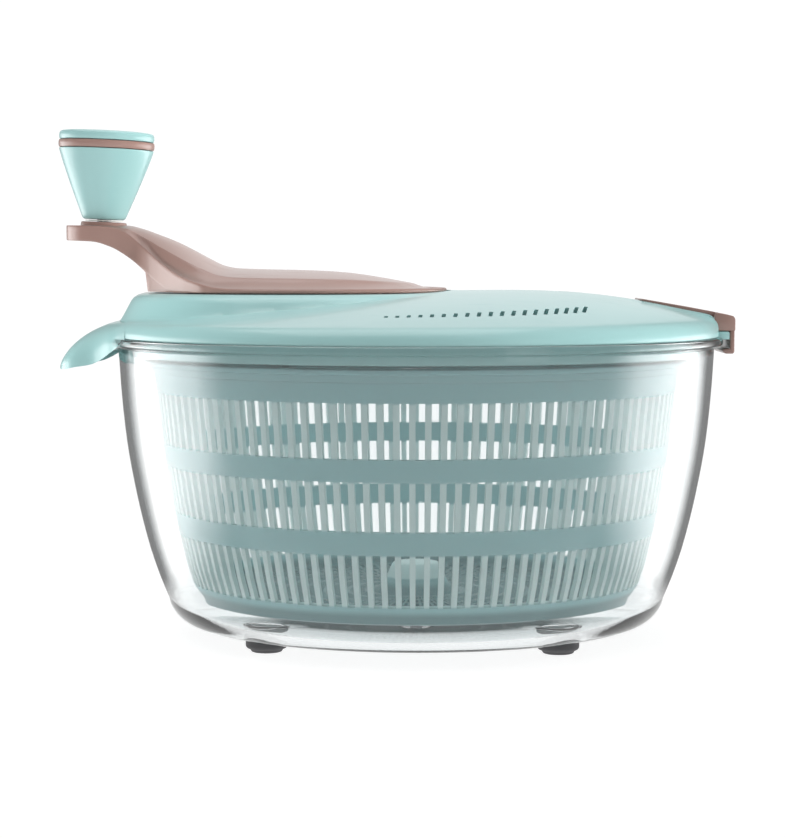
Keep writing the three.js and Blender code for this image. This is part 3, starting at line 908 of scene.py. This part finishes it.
@dataclass
class Lid:
    """The lid: an off-centre crown, the crank's boss, the inner skirt, vents, latch housing and lift tab."""

    radius: float = 122.4
    crown_radius: float = 122.0
    edge: float = 122.0
    rise: float = 13.0
    crown_x: float = 40.0
    boss_x: float = -48.0
    seat: float = 133.9
    seat_radius: float = 62.2
    wall: float = 2.2
    around: int = 320
    setback: float = 5.2
    fall: float = 4.4
    boss_reach: float = 72.6
    cheek: float = 17.8
    vents: int = 19
    vent_half_width: float = 0.75
    hook_ribs: tuple[float, ...] = (-18.0, -13.5, -0.8, 11.9, 16.4)
    ridge_line: Course = Course(
        ((60.0, 130.6), (78.0, 131.2), (90.0, 130.2), (108.0, 127.1), (124.0, 124.2))
    )
    boss_side: Course = Course(
        (
            (62.4, 134.0), (64.0, 133.6), (65.6, 132.9), (67.2, 131.6), (68.4, 129.6), (69.8, 127.0),
            (71.2, 124.4), (72.6, 121.8), (76.0, 112.0),
        )
    )
    tab_top: Course = Course(
        (
            (-145.0, 103.6), (-144.2, 106.2), (-143.0, 108.4), (-140.8, 111.4), (-137.0, 115.0),
            (-133.3, 117.6), (-128.7, 120.0), (-123.5, 122.0), (-118.0, 123.2), (-112.0, 124.0),
        )
    )
    tab_edge: Course = Course(
        (
            (-145.0, 103.2), (-142.5, 103.2), (-137.9, 104.2), (-130.7, 105.4), (-127.6, 106.6),
            (-124.1, 108.7), (-120.0, 111.6), (-112.0, 116.8),
        )
    )
    tab_width: Course = Course(
        (
            (-145.0, 3.0), (-144.4, 7.0), (-143.0, 11.5), (-139.0, 17.0), (-130.0, 21.0), (-126.0, 24.6),
            (-122.0, 30.0), (-120.0, 31.8), (-118.0, 35.0), (-116.0, 40.2), (-114.0, 45.3), (-112.0, 49.6),
        )
    )

    def build(self, wardrobe: Wardrobe) -> None:
        """Makes and dresses the lid and what is fixed to it."""
        shell = cut_away(self.shell(), self.latch_room(), *self.vent_cutters())
        lid = joined("domed_lid", shell, self.housing(), self.lift_tab(), self.bearing_rings())
        wardrobe.dress(smooth(lid, 30), LID_MINT, Body.LID, "lid_shell")
        wardrobe.dress_nodes(LID_MINT, "gear_cover")
        wardrobe.dress_nodes(WHITE_ACETAL, "crank_bush", "pinion_bush")
        screws = [f"cover_screw_{n}" for n in range(1, 5)]
        wardrobe.dress_nodes(PLATED_STEEL, "latch_pin", "latch_spring", *screws)

    def crown(self, x: float, y: float) -> float:
        """Height of the crown, whose level circles drift towards the latch as they shrink.

        Args:
            x: place along the lid.
            y: place across the lid.

        Returns:
            The height there.
        """
        aside = x - self.crown_x
        spread_out = self.crown_radius**2 - self.crown_x**2
        root = math.sqrt((self.crown_x * aside) ** 2 + spread_out * (aside**2 + y * y))
        share = (self.crown_x * aside + root) / spread_out
        return self.edge + self.rise * (1 - share**2.2)

    def top(self, x: float, y: float) -> float:
        """Height of the lid's top: the crown and the boss, filleted together."""
        crown = self.crown(x, y)
        reach = math.hypot(x - self.boss_x, y)
        if reach < self.seat_radius:
            return self.seat
        return soft_max(soft_max(crown, self.boss_side.at(reach), 0.9), self.latch_ridge(x, y), 1.2)

    def latch_ridge(self, x: float, y: float) -> float:
        """Height of the shoulder that rises out of the crown to meet the latch."""
        if x < 60:
            return 0.0
        return self.ridge_line.at(x) - 0.9 * max(abs(y) - 17.0, 0.0)

    def ring(self, centre: float, radius: float, height: Height) -> Ring:
        """One ring of the lid.

        Args:
            centre: where its centre lies along X.
            radius: its radius.
            height: its height at each place.

        Returns:
            The ring's point at a share of the way round.
        """

        def place(share: float) -> Point:
            """The point at this share of a turn."""
            x = centre + radius * math.cos(TURN * share)
            y = radius * math.sin(TURN * share)
            return (x, y, height(x, y))

        return place

    def surface_rings(self, inset: float, drop: float) -> list[Ring]:
        """Rings over the lid's top from the crank's axis to the start of its rounded edge.

        Args:
            inset: how much smaller the rings are than the outer surface's.
            drop: how much lower they are.

        Returns:
            The rings, from the middle outwards.
        """
        rings = []
        seat_radii = [0.0, 30.0, 55.0, 61.4, self.seat_radius - 0.01]
        boss_radii = [62.5, 62.9, 63.5, 64.2, 65.0, 65.8, 66.5, 67.2, 67.8, 68.5, 69.4, 70.4, 71.3, 72.0]
        boss_radii.append(self.boss_reach)
        for radius in seat_radii + boss_radii:
            rings.append(
                self.ring(
                    self.boss_x,
                    max(radius - inset, 0.0),
                    lambda x, y, radius=radius: self.offset_top(x, y, radius, inset) - drop,
                )
            )
        start, end = self.boss_reach, self.radius - self.setback
        for share in spread(0.02, 1.0, 44):
            radius = start + (end - start) * share
            centre = self.boss_x * (1 - share)
            rings.append(self.ring(centre, radius - inset, lambda x, y: self.top(x, y) - drop))
        return rings

    def offset_top(self, x: float, y: float, radius: float, inset: float) -> float:
        """Height of the top where a ring of the boss would lie without its inset."""
        shown = max(radius - inset, 0.0)
        grown = radius / shown if shown > 1 else 1.0
        return self.top(self.boss_x + (x - self.boss_x) * grown, y * grown)

    def shell(self) -> Piece:
        """Stretches one closed skin over the top, round the edge, down the skirt and back underneath."""
        rings = self.surface_rings(0.0, 0.0)
        for turn in spread(math.radians(12), math.radians(90), 9):
            radius = self.radius - self.setback * (1 - math.sin(turn))
            drop = self.fall * (1 - math.cos(turn))
            rings.append(self.ring(0.0, radius, lambda x, y, drop=drop: self.top(x, y) - drop))
        skirt = softened(
            [
                (self.radius, 117.4, 0.0),
                (self.radius, 116.5, 0.4),
                (self.radius - 1.6, 116.5, 0.3),
                (114.9, 116.5, 0.6), (114.5, 109.2, 0.5), (112.5, 109.0, 0.4), (112.5, 117.0, 0.0),
            ],
            3,
        )
        rings += [self.ring(0.0, r, lambda x, y, z=z: z) for r, z in skirt]
        rings += list(reversed(self.surface_rings(2.0, self.wall)))[6:]
        return skin("lid_skin", rings, self.around)

    def latch_room(self) -> Piece:
        """The pocket that the latch rocks in."""
        return block("latch_room", (90.0, -15.4, 118.0), (133.0, 15.4, 142.0), 0.0)

    def vent_cutters(self) -> list[Piece]:
        """Cutters for the row of slanted vents in front, which get longer towards the latch."""
        made, wide = [], self.vent_half_width
        for index in range(self.vents):
            share = index / (self.vents - 1)
            angle = math.radians(-96.9 + 48.5 * (0.88 * share + 0.12 * share * share))
            length = 3.0 + 10.6 * share
            radius = 99.6 - 4.4 * share
            cutter = block(f"vent_{index}", (-wide, -length / 2, 118.0), (wide, length / 2, 140.0), 0.35)
            cutter.data.transform(Matrix.Rotation(math.radians(-3 - 5 * share), 4, "Z"))
            place = Vector((radius * math.cos(angle), radius * math.sin(angle), 0)) * MM
            cutter.data.transform(Matrix.Translation(place))
            made.append(cutter)
        return made

    def housing(self) -> Piece:
        """The raised cheeks and floor round the latch."""
        cheek = [
            (86.0, 116.4), (86.0, 128.6), (92.0, 129.6), (108.0, 126.9), (118.4, 125.0), (118.4, 115.4),
        ]
        body = slab("latch_housing", cheek, self.cheek, 0.5)
        ledge = block("latch_ledge", (117.0, -17.6, 115.4), (125.6, 17.6, 118.6), 0.5)
        return joined("latch_housing", cut_away(body, self.latch_room()), ledge)

    def lift_tab(self) -> Piece:
        """The drooping tongue that lifts the lid: an arched shell, hollow underneath, that wraps the rim."""
        def ring(x: float, fullness: float) -> Ring:
            """One cross-section, out over the arch and back under it; no fullness closes it to a point."""

            def place(share: float) -> Point:
                """The point at this share of the way round."""
                outer = share <= 0.5
                turn = math.pi * (2 * share if outer else 2 - 2 * share)
                thin = 0.0 if outer else 2.2
                across, up = math.cos(turn), max(math.sin(turn), 0.0)
                half = max(self.tab_width.at(x) - thin, 0.5)
                low = self.tab_edge.at(x)
                rise = max(self.tab_top.at(x) - low - thin, 0.2)
                y = half * math.copysign(abs(across) ** 0.8, across)
                z = low + rise * up**0.62
                middle = low + rise * 0.6
                return (x, y * fullness, middle + (z - middle) * fullness)

            return place

        places = [-145.0, -144.8, -144.4, -143.8, -143.0, -142.0, *spread(-140.5, -114.0, 18)]
        rings = [ring(places[0], 0.0), *(ring(x, 1.0) for x in places), ring(places[-1], 0.0)]
        body = skin("lift_tab", rings, 72)
        room = [(0.0, 95.0), (125.0, 95.0), (125.0, 116.7), (0.0, 116.7)]
        body = cut_away(body, turned("rim_room", room, 160))
        ribs = [
            block(f"hook_rib_{n}", (-127.4, y, 110.4), (-125.1, y + 1.6, 116.6), 0.3)
            for n, y in enumerate(self.hook_ribs)
        ]
        lip = block("hook_lip", (-127.2, -16.0, 110.4), (-122.9, 16.0, 111.8), 0.4)
        back = block("hook_back", (-126.4, -17.4, 111.0), (-125.2, 17.4, 118.0), 0.3)
        return joined("lift_tab", body, back, lip, *ribs)

    def bearing_rings(self) -> Piece:
        """The collars, sockets and screw posts under the lid's top."""
        collar = [(10.1, 130.6), (12.6, 130.6), (12.6, 133.4), (10.1, 133.4), (10.1, 130.6)]
        socket = [(3.4, 129.5), (5.6, 129.5), (5.6, 133.0), (3.4, 133.0), (3.4, 129.5)]
        post = softened([(1.5, 119.4, 0.0), (3.6, 119.4, 0.4), (3.8, 132.4, 0.0), (1.5, 132.4, 0.0)], 2)
        post.append(post[0])
        parts = [turned("crank_collar", collar, 48, (self.boss_x, 0.0)), turned("pinion_socket", socket, 32)]
        for quarter in range(4):
            turn = math.radians(45 + 90 * quarter)
            centre = (-30 + 55 * math.cos(turn), 55 * math.sin(turn))
            parts.append(turned(f"screw_post_{quarter}", post, 24, centre))
        return joined("lid_bearings", *parts)


# ---- latch


@dataclass
class Latch:
    """The brown rocker: a thin finger plate in the lid and a hook that goes under the bowl's rim."""

    half_width: float = 15.0
    head_half_width: float = 17.4
    plate: Profile = (
        (90.6, 130.6), (90.8, 131.7), (108.0, 128.7), (118.6, 126.7), (120.4, 126.3), (120.4, 124.3),
        (116.0, 123.0), (111.0, 124.6),
    )
    # The head's back leans away from the lid's cheeks, which it would cut into when the latch rocks.
    head: Profile = (
        (119.9, 126.45), (124.4, 125.5), (127.2, 124.8), (128.0, 123.6), (128.0, 118.9), (118.6, 118.9),
    )
    hook: Profile = (
        (126.2, 120.0), (128.0, 120.0), (128.0, 110.3), (127.4, 109.6), (124.4, 109.6), (123.2, 110.7),
        (123.2, 111.5), (126.2, 111.7),
    )
    knuckle: Profile = ((113.5, 124.0), (119.5, 124.0), (121.4, 118.9), (116.6, 118.9), (115.4, 122.0))

    def build(self, wardrobe: Wardrobe) -> None:
        """Makes and dresses the latch."""
        plate = slab("latch_plate", self.plate, self.half_width, 0.35)
        head = slab("latch_head", self.head, self.head_half_width, 0.5)
        hook = slab("latch_hook", self.hook, self.half_width, 0.35)
        knuckle = slab("latch_knuckle", self.knuckle, self.half_width - 0.4, 0.3)
        latch = joined("rocker_latch", plate, head, hook, knuckle)
        wardrobe.dress(smooth(latch, 30), HANDLE_BROWN, Body.LATCH, "latch")


# ---- crank


@dataclass
class Crank:
    """The crank handle, a round cover whose crowned top and lip sweep up into the arm, and its knob."""

    axis_x: float = -48.0
    radius: float = 60.5
    around: int = 360
    bottom: float = 134.5
    knob_x: float = -127.0
    knob_z: float = 163.6
    knob_tilt: float = math.radians(2.5)
    crown: Course = Course(
        (
            (-142.4, 161.6), (-134.0, 161.6), (-117.0, 161.2), (-111.3, 159.9), (-104.2, 157.4),
            (-97.2, 154.6), (-90.2, 151.1), (-83.2, 147.3), (-78.3, 145.0), (-72.6, 143.9), (-62.0, 143.5),
            (-48.0, 143.2), (-28.0, 142.6), (-10.6, 140.9), (2.8, 138.7), (9.0, 137.4), (12.5, 136.0),
        )
    )
    lip: Course = Course(
        (
            (-142.4, 160.7), (-131.0, 160.4), (-123.0, 159.8), (-117.0, 157.8), (-109.8, 152.3),
            (-101.9, 145.8), (-93.7, 140.8), (-85.9, 138.0), (-77.6, 136.1), (-70.0, 135.7), (12.5, 135.5),
        )
    )
    under: Course = Course(
        (
            (-142.4, 155.8), (-130.0, 155.2), (-123.0, 153.2), (-116.0, 149.2), (-109.8, 144.2),
            (-106.7, 141.2), (-101.5, 137.5), (-97.2, 135.2), (-90.0, 134.4), (12.5, 134.4),
        )
    )
    arm: Course = Course(
        (
            (-127.0, 15.2), (-120.0, 14.9), (-113.0, 15.6), (-108.0, 18.6), (-104.0, 22.6), (-100.0, 27.6),
            (-95.0, 34.6), (-90.0, 41.6), (-84.0, 48.6), (-80.0, 51.4),
        )
    )
    spine: Course = Course(
        (
            (-142.4, -127.0), (-136.0, -127.0), (-127.0, -125.0), (-118.0, -118.0), (-108.6, -108.5),
            (-100.0, -96.0), (-85.0, -72.0), (-66.0, -53.0), (-48.0, -48.0), (12.5, -48.0),
        )
    )
    crease: float = 0.78
    crease_rise: float = 0.58
    channel: float = 0.965
    arm_root: float = -84.0
    tip_radius: float = 15.2

    def build(self, wardrobe: Wardrobe) -> None:
        """Makes and dresses the handle, its knob and what turns with them."""
        handle = joined("crank_handle_cover", self.cover(), self.seat_pad())
        wardrobe.dress(smooth(handle, 30), HANDLE_BROWN, Body.CRANK, "crank_handle")
        wardrobe.dress_nodes(PLATED_STEEL, "crank_screw", "crank_washer", "knob_axle")
        wardrobe.dress_nodes(WHITE_ACETAL, "crank_gear", "knob_washer")
        self.knob(wardrobe)

    def half_width(self, x: float) -> float:
        """Half the handle's width in plan: the round cover with the arm drawn out of it."""
        if x > self.arm_root:
            return math.sqrt(max(self.radius**2 - (x - self.axis_x) ** 2, 0.0))
        if x < self.knob_x:
            return math.sqrt(max(self.tip_radius**2 - (x - self.knob_x) ** 2, 0.0))
        return self.arm.at(x)

    def outline(self) -> list[Pair]:
        """The plan's outline, from the far right round the front to the tip and back, evenly spaced."""
        disc = [self.axis_x + self.radius * math.cos(a) for a in spread(0.0, math.radians(125), 260)]
        arm = spread(disc[-1], self.knob_x, 200)[1:]
        tip = [self.knob_x - self.tip_radius * math.sin(a) for a in spread(0.0, math.radians(90), 60)][1:]
        places = disc + arm + tip
        front = [(x, -self.half_width(x)) for x in places]
        lengths = [0.0]
        for before, after in zip(front, front[1:]):
            lengths.append(lengths[-1] + math.dist(before, after))
        half = self.around // 2
        even, index = [], 0
        for target in spread(0.0, lengths[-1], half + 1):
            while index < len(lengths) - 2 and lengths[index + 1] < target:
                index += 1
            share = (target - lengths[index]) / max(lengths[index + 1] - lengths[index], 1e-9)
            (x0, y0), (x1, y1) = front[index], front[index + 1]
            even.append((x0 + (x1 - x0) * share, y0 + (y1 - y0) * share))
        back = [(x, -y) for x, y in reversed(even[1:-1])]
        return even + back

    def cover(self) -> Piece:
        """Stretches the handle's skin from its crown over the lip and the wall to its underside."""
        outline = self.outline()
        count = len(outline)

        def ring(share: float, height: Height) -> Ring:
            """A ring at a share of the way from the spine to the outline."""

            def place(turn: float) -> Point:
                """The ring's point at a share of a turn."""
                x, y = outline[round(turn * count) % count]
                middle = self.spine.at(x)
                return (middle + (x - middle) * share, y * share, height(middle + (x - middle) * share, x))

            return place

        def top(share: float) -> Height:
            """Height of the top at a share of the way to the outline."""
            rise = self.dome(share)
            return lambda x, edge: self.lip.at(x) + (self.crown.at(x) - self.lip.at(x)) * rise

        shares = [0.0, 0.12, 0.24, 0.36, 0.46, 0.55, 0.63, 0.69, 0.73, 0.76, 0.775, 0.787, 0.80, 0.815, 0.83]
        shares += [0.85, 0.87, 0.89, 0.91, 0.93, 0.95, 0.964]
        rings = [ring(share, top(share)) for share in shares]
        for out, lower in ((0.972, -0.3), (0.98, -0.5), (0.988, -0.55), (0.995, -0.35), (1.0, 0.1)):
            rings.append(ring(out, lambda x, edge, lower=lower: self.lip.at(edge) - lower))
        for share in (0.1, 0.5, 0.9, 1.0):
            rings.append(ring(1.0, lambda x, edge, share=share: self.wall_height(edge, share)))
        rings.append(ring(0.996, lambda x, edge: self.wall_height(edge, 1.0) - 0.25))
        rings.append(ring(0.986, lambda x, edge: self.wall_height(edge, 1.0) - 0.3))
        rings.append(
            ring(0.985, lambda x, edge: min(self.wall_height(edge, 1.0) - 0.5, self.floor(edge) + 0.3))
        )
        rings.append(ring(0.98, lambda x, edge: self.floor(edge) - 0.3))
        for share in (0.8, 0.4, 0.0):
            rings.append(ring(share, lambda x, edge: self.floor(edge) - 0.3))
        return skin("handle_skin", rings, count)

    def wall_height(self, edge: float, share: float) -> float:
        """Height on the arm's side wall, from its lip to its lower edge."""
        top = self.lip.at(edge) - 0.5
        return top + (max(self.under.at(edge), self.bottom + 0.4) - top) * share

    def floor(self, edge: float) -> float:
        """Height of the handle's underside below a place of the outline."""
        return self.under.at(edge) - 0.3 if edge < -108.4 else self.bottom + 0.4

    def dome(self, share: float) -> float:
        """How far the top stands above the lip, from 1 on the spine through a crease to 0 in the channel."""
        if share <= self.crease:
            return 1 - (1 - self.crease_rise) * (share / self.crease) ** 2.2
        return self.crease_rise * max((self.channel - share) / (self.channel - self.crease), 0.0) ** 1.7

    def seat_pad(self) -> Piece:
        """The small pad under the knob."""
        profile = [(0.0, -5.0, 0.0), (9.6, -5.0, 0.2), (9.2, -1.0, 0.6), (3.3, -1.0, 0.2)]
        profile += [(3.3, -4.0, 0.1), (0.0, -4.0, 0.0)]
        return self.tilted(turned("knob_seat", softened(profile), 48))

    def tilted(self, part: Piece) -> Piece:
        """Moves a part from the knob's own axis to its leaning place on the arm."""
        lean = Matrix.Rotation(self.knob_tilt, 4, "Y")
        part.data.transform(Matrix.Translation((self.knob_x * MM, 0, self.knob_z * MM)) @ lean)
        return part

    def knob(self, wardrobe: Wardrobe) -> None:
        """Makes and dresses the knob's cone, ring and cap."""
        side = Course(((0.0, 8.5), (6.0, 10.9), (12.0, 13.3), (18.0, 15.6), (24.0, 17.8), (28.4, 19.2)))
        cone = [(3.35, 0.0, 0.0), (8.0, 0.0, 0.4)] + [(side.at(z), z, 0.0) for z in spread(0.6, 27.8, 16)]
        cone += [(19.1, 28.4, 0.3), (14.6, 28.4, 0.3), (8.6, 12.0, 0.2), (3.35, 12.0, 0.0), (3.35, 0.0, 0.0)]
        band = [(13.0, 28.6, 0.0), (19.2, 28.6, 0.5), (19.45, 30.2, 0.3), (19.3, 31.7, 0.5)]
        band += [(13.0, 31.7, 0.0), (13.0, 28.6, 0.0)]
        cap = [(0.0, 27.0, 0.0), (11.6, 27.0, 0.3), (11.6, 31.9, 0.2), (19.0, 31.9, 0.3), (19.3, 33.2, 0.6)]
        cap += [(19.0, 35.2, 1.2), (16.6, 35.6, 1.0), (9.0, 35.9, 3.0), (0.0, 36.0, 0.0)]
        for name, profile, rounding, finish, node in (
            ("cone_knob", cone, 2, LID_MINT, "knob_grip"),
            ("knob_ring", band, 2, HANDLE_BROWN, "knob_band"),
            ("knob_lid", cap, 4, LID_MINT, "knob_cap"),
        ):
            part = smooth(self.tilted(turned(name, softened(profile, rounding), 96)), 40)
            wardrobe.dress(part, finish, Body.KNOB, node)


@dataclass
class Drive:
    """The hidden train that turns the basket."""

    def build(self, wardrobe: Wardrobe) -> None:
        """Dresses the pinion, the drive disc and its screw."""
        wardrobe.dress_nodes(WHITE_ACETAL, "pinion")
        wardrobe.dress_nodes(DISC_MINT, "drive_disc")
        wardrobe.dress_nodes(PLATED_STEEL, "drive_screw")


# ---- studio


@dataclass
class Studio:
    """The pale floor, the soft lights and the camera.

    Only the camera sees white all round. For light, the backdrop is white behind the object alone: grey
    flags beside it draw the clear bowl's edges, and bright strips beyond them whiten the basket's sides.
    """

    floor_z: float = -4.6
    lens: float = 103.1
    eye: Point = (-9.4, -980.0, 148.4)
    pitch: float = math.radians(86.14)
    floor_radius: Pair = (105.0, 160.0)
    backdrop: float = 1.04
    flag: float = 0.26
    front: float = 0.17
    front_floor: float = 0.95
    overhead: float = 0.5
    strips: float = 3.8

    def build(self) -> None:
        """Sets up the camera, the floor, the world and the lights."""
        self.camera()
        self.floor()
        self.world()
        self.light("top_box", (-100.0, 0.0, 1000.0), (900.0, 900.0), 2.0)
        self.light("key_box", (560.0, -700.0, 260.0), (260.0, 360.0), 1.0)
        self.spot("knob_spot", (820.0, -520.0, 150.0), (-126.0, 0.0, 184.0), 60.0, 0.9)
        self.spot("left_spot", (-900.0, -130.0, 170.0), (-116.0, -40.0, 126.0), 62.0, 0.75)
        self.spot("right_spot", (900.0, -160.0, 170.0), (108.0, -50.0, 124.0), 62.0, 0.9)
        self.light("inner_glow", (0.0, 0.0, 98.0), (150.0, 150.0), 0.7, (0.0, 0.0, 0.0), shows=False)

    def camera(self) -> None:
        """Places the camera a little above the object's middle, looking slightly down."""
        lens = bpy.data.cameras.new("camera")
        lens.lens = self.lens
        camera = bpy.data.objects.new("camera", lens)
        camera.location = Vector(self.eye) * MM
        camera.rotation_euler = (self.pitch, 0.0, 0.0)
        bpy.context.scene.collection.objects.link(camera)
        bpy.context.scene.camera = camera

    def floor(self) -> None:
        """Makes a round floor of pale, glowing paper, which fades away at its edge and so shows no end."""
        deselect()
        place, radius = (0, 0, self.floor_z * MM), self.floor_radius[1] * MM
        bpy.ops.mesh.primitive_circle_add(vertices=96, radius=radius, fill_type="NGON", location=place)
        body = bpy.context.object
        body.name = "pale_floor"
        recipe = Recipe("pale_paper")
        fibre = recipe.noise(3.0, 4.0)
        x, y = (recipe.node("ShaderNodeSeparateXYZ", {}, {0: recipe.place}, output=axis) for axis in "XY")
        inner, outer = ((radius * MM) ** 2 for radius in self.floor_radius)
        body.data.materials.append(
            recipe.finish(
                Base_Color=recipe.blend(fibre, display(150, 150, 150), display(147, 148, 148)),
                Roughness=0.9,
                Specular_IOR_Level=0.0,
                Alpha=recipe.step(x * x + y * y, outer, inner),
                Emission_Color=(1.0, 1.0, 1.0, 1.0),
                Emission_Strength=0.9,
            )
        )

    def world(self) -> None:
        """Surrounds the scene with the backdrop, flags and strips, a dim front and its bright floor."""
        world = bpy.data.worlds.new("studio")
        world.use_nodes = True
        tree = Tree(world.node_tree)
        where = tree.node("ShaderNodeTexCoord", {}, {}, output="Generated")
        x, y, z = (tree.node("ShaderNodeSeparateXYZ", {}, {0: where}, output=axis) for axis in "XYZ")
        low = self.flag + (self.front - self.flag) * tree.step(y, 0.2, -0.25)
        low = low + self.front_floor * tree.step(y, 0.0, -0.25) * tree.step(z, 0.02, -0.12)
        around = low + (self.overhead - low) * tree.step(z, 0.45, 0.8)
        window = tree.step(x * x, 0.05, 0.03) * tree.step(y, 0.4, 0.7)
        level = tree.step(z, -0.5, -0.25) * tree.step(z, 0.2, 0.05)
        strips = self.strips * tree.step(y, -0.25, 0.1) * tree.step(y, 0.86, 0.6) * level
        lit = around + (self.backdrop - around) * window + strips
        seen = tree.node("ShaderNodeLightPath", {}, {}, output="Is Camera Ray")
        shown = tree.node("ShaderNodeMath", {"operation": "MAXIMUM"}, {0: lit, 1: seen})
        shade = world.node_tree.nodes["Background"]
        tree.put(shade.inputs["Strength"], shown)
        shade.inputs["Color"].default_value = (1.0, 1.0, 1.0, 1.0)
        bpy.context.scene.world = world
        bpy.context.scene.view_settings.view_transform = "Standard"

    def hang(
        self, lamp: bpy.types.Light, place: Point, aim: Vector, seen_glossy: bool, seen_through: bool
    ) -> None:
        """Hangs a lamp, which stays out of the camera's view.

        Args:
            lamp: the lamp.
            place: where it stands.
            aim: the way it faces.
            seen_glossy: whether it shows in reflections.
            seen_through: whether it shows through clear pieces.
        """
        head = bpy.data.objects.new(lamp.name, lamp)
        head.location = Vector(place) * MM
        head.rotation_euler = aim.to_track_quat("-Z", "Y").to_euler()
        head.visible_camera = False
        head.visible_glossy = seen_glossy
        head.visible_transmission = seen_through
        bpy.context.scene.collection.objects.link(head)

    def spot(self, name: str, place: Point, target: Point, reach: float, level: float) -> None:
        """Adds one narrow soft-edged spotlight that leaves no glint.

        Args:
            name: the light's name.
            place: where it stands.
            target: the middle of what it lights.
            reach: the radius of the lit round, there.
            level: how bright it makes a white face turned to it.
        """
        aim = (Vector(target) - Vector(place)) * MM
        lamp = bpy.data.lights.new(name, "SPOT")
        lamp.energy = level * 4.0 * math.pi * math.pi * aim.length_squared
        lamp.spot_size = 2.0 * math.atan(reach * MM / aim.length)
        lamp.spot_blend = 0.6
        lamp.shadow_soft_size = 0.07
        self.hang(lamp, place, aim, False, False)

    def light(
        self,
        name: str,
        place: Point,
        sides: Pair,
        radiance: float,
        target: Point = (0.0, 0.0, 90.0),
        shows: bool = True,
    ) -> None:
        """Adds one soft box.

        Args:
            name: the light's name.
            place: where it stands.
            sides: its width and height.
            radiance: how bright its face is, where the backdrop is 1.
            target: what it faces.
            shows: whether it shows in reflections and through clear pieces.
        """
        lamp = bpy.data.lights.new(name, "AREA")
        lamp.shape = "RECTANGLE"
        lamp.size, lamp.size_y = (side * MM for side in sides)
        lamp.energy = radiance * math.pi * lamp.size * lamp.size_y
        self.hang(lamp, place, Vector(target) - Vector(place), shows, shows)


def main() -> None:
    """Builds the studio and the spinner."""
    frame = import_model()
    Studio().build()
    wardrobe = Wardrobe(frame)
    for assembly in (Bowl(), Basket(), Lid(), Latch(), Crank(), Drive()):
        assembly.build(wardrobe)


if __name__ == "__main__":
    logging.basicConfig(level=logging.INFO, format="%(message)s")
    main()
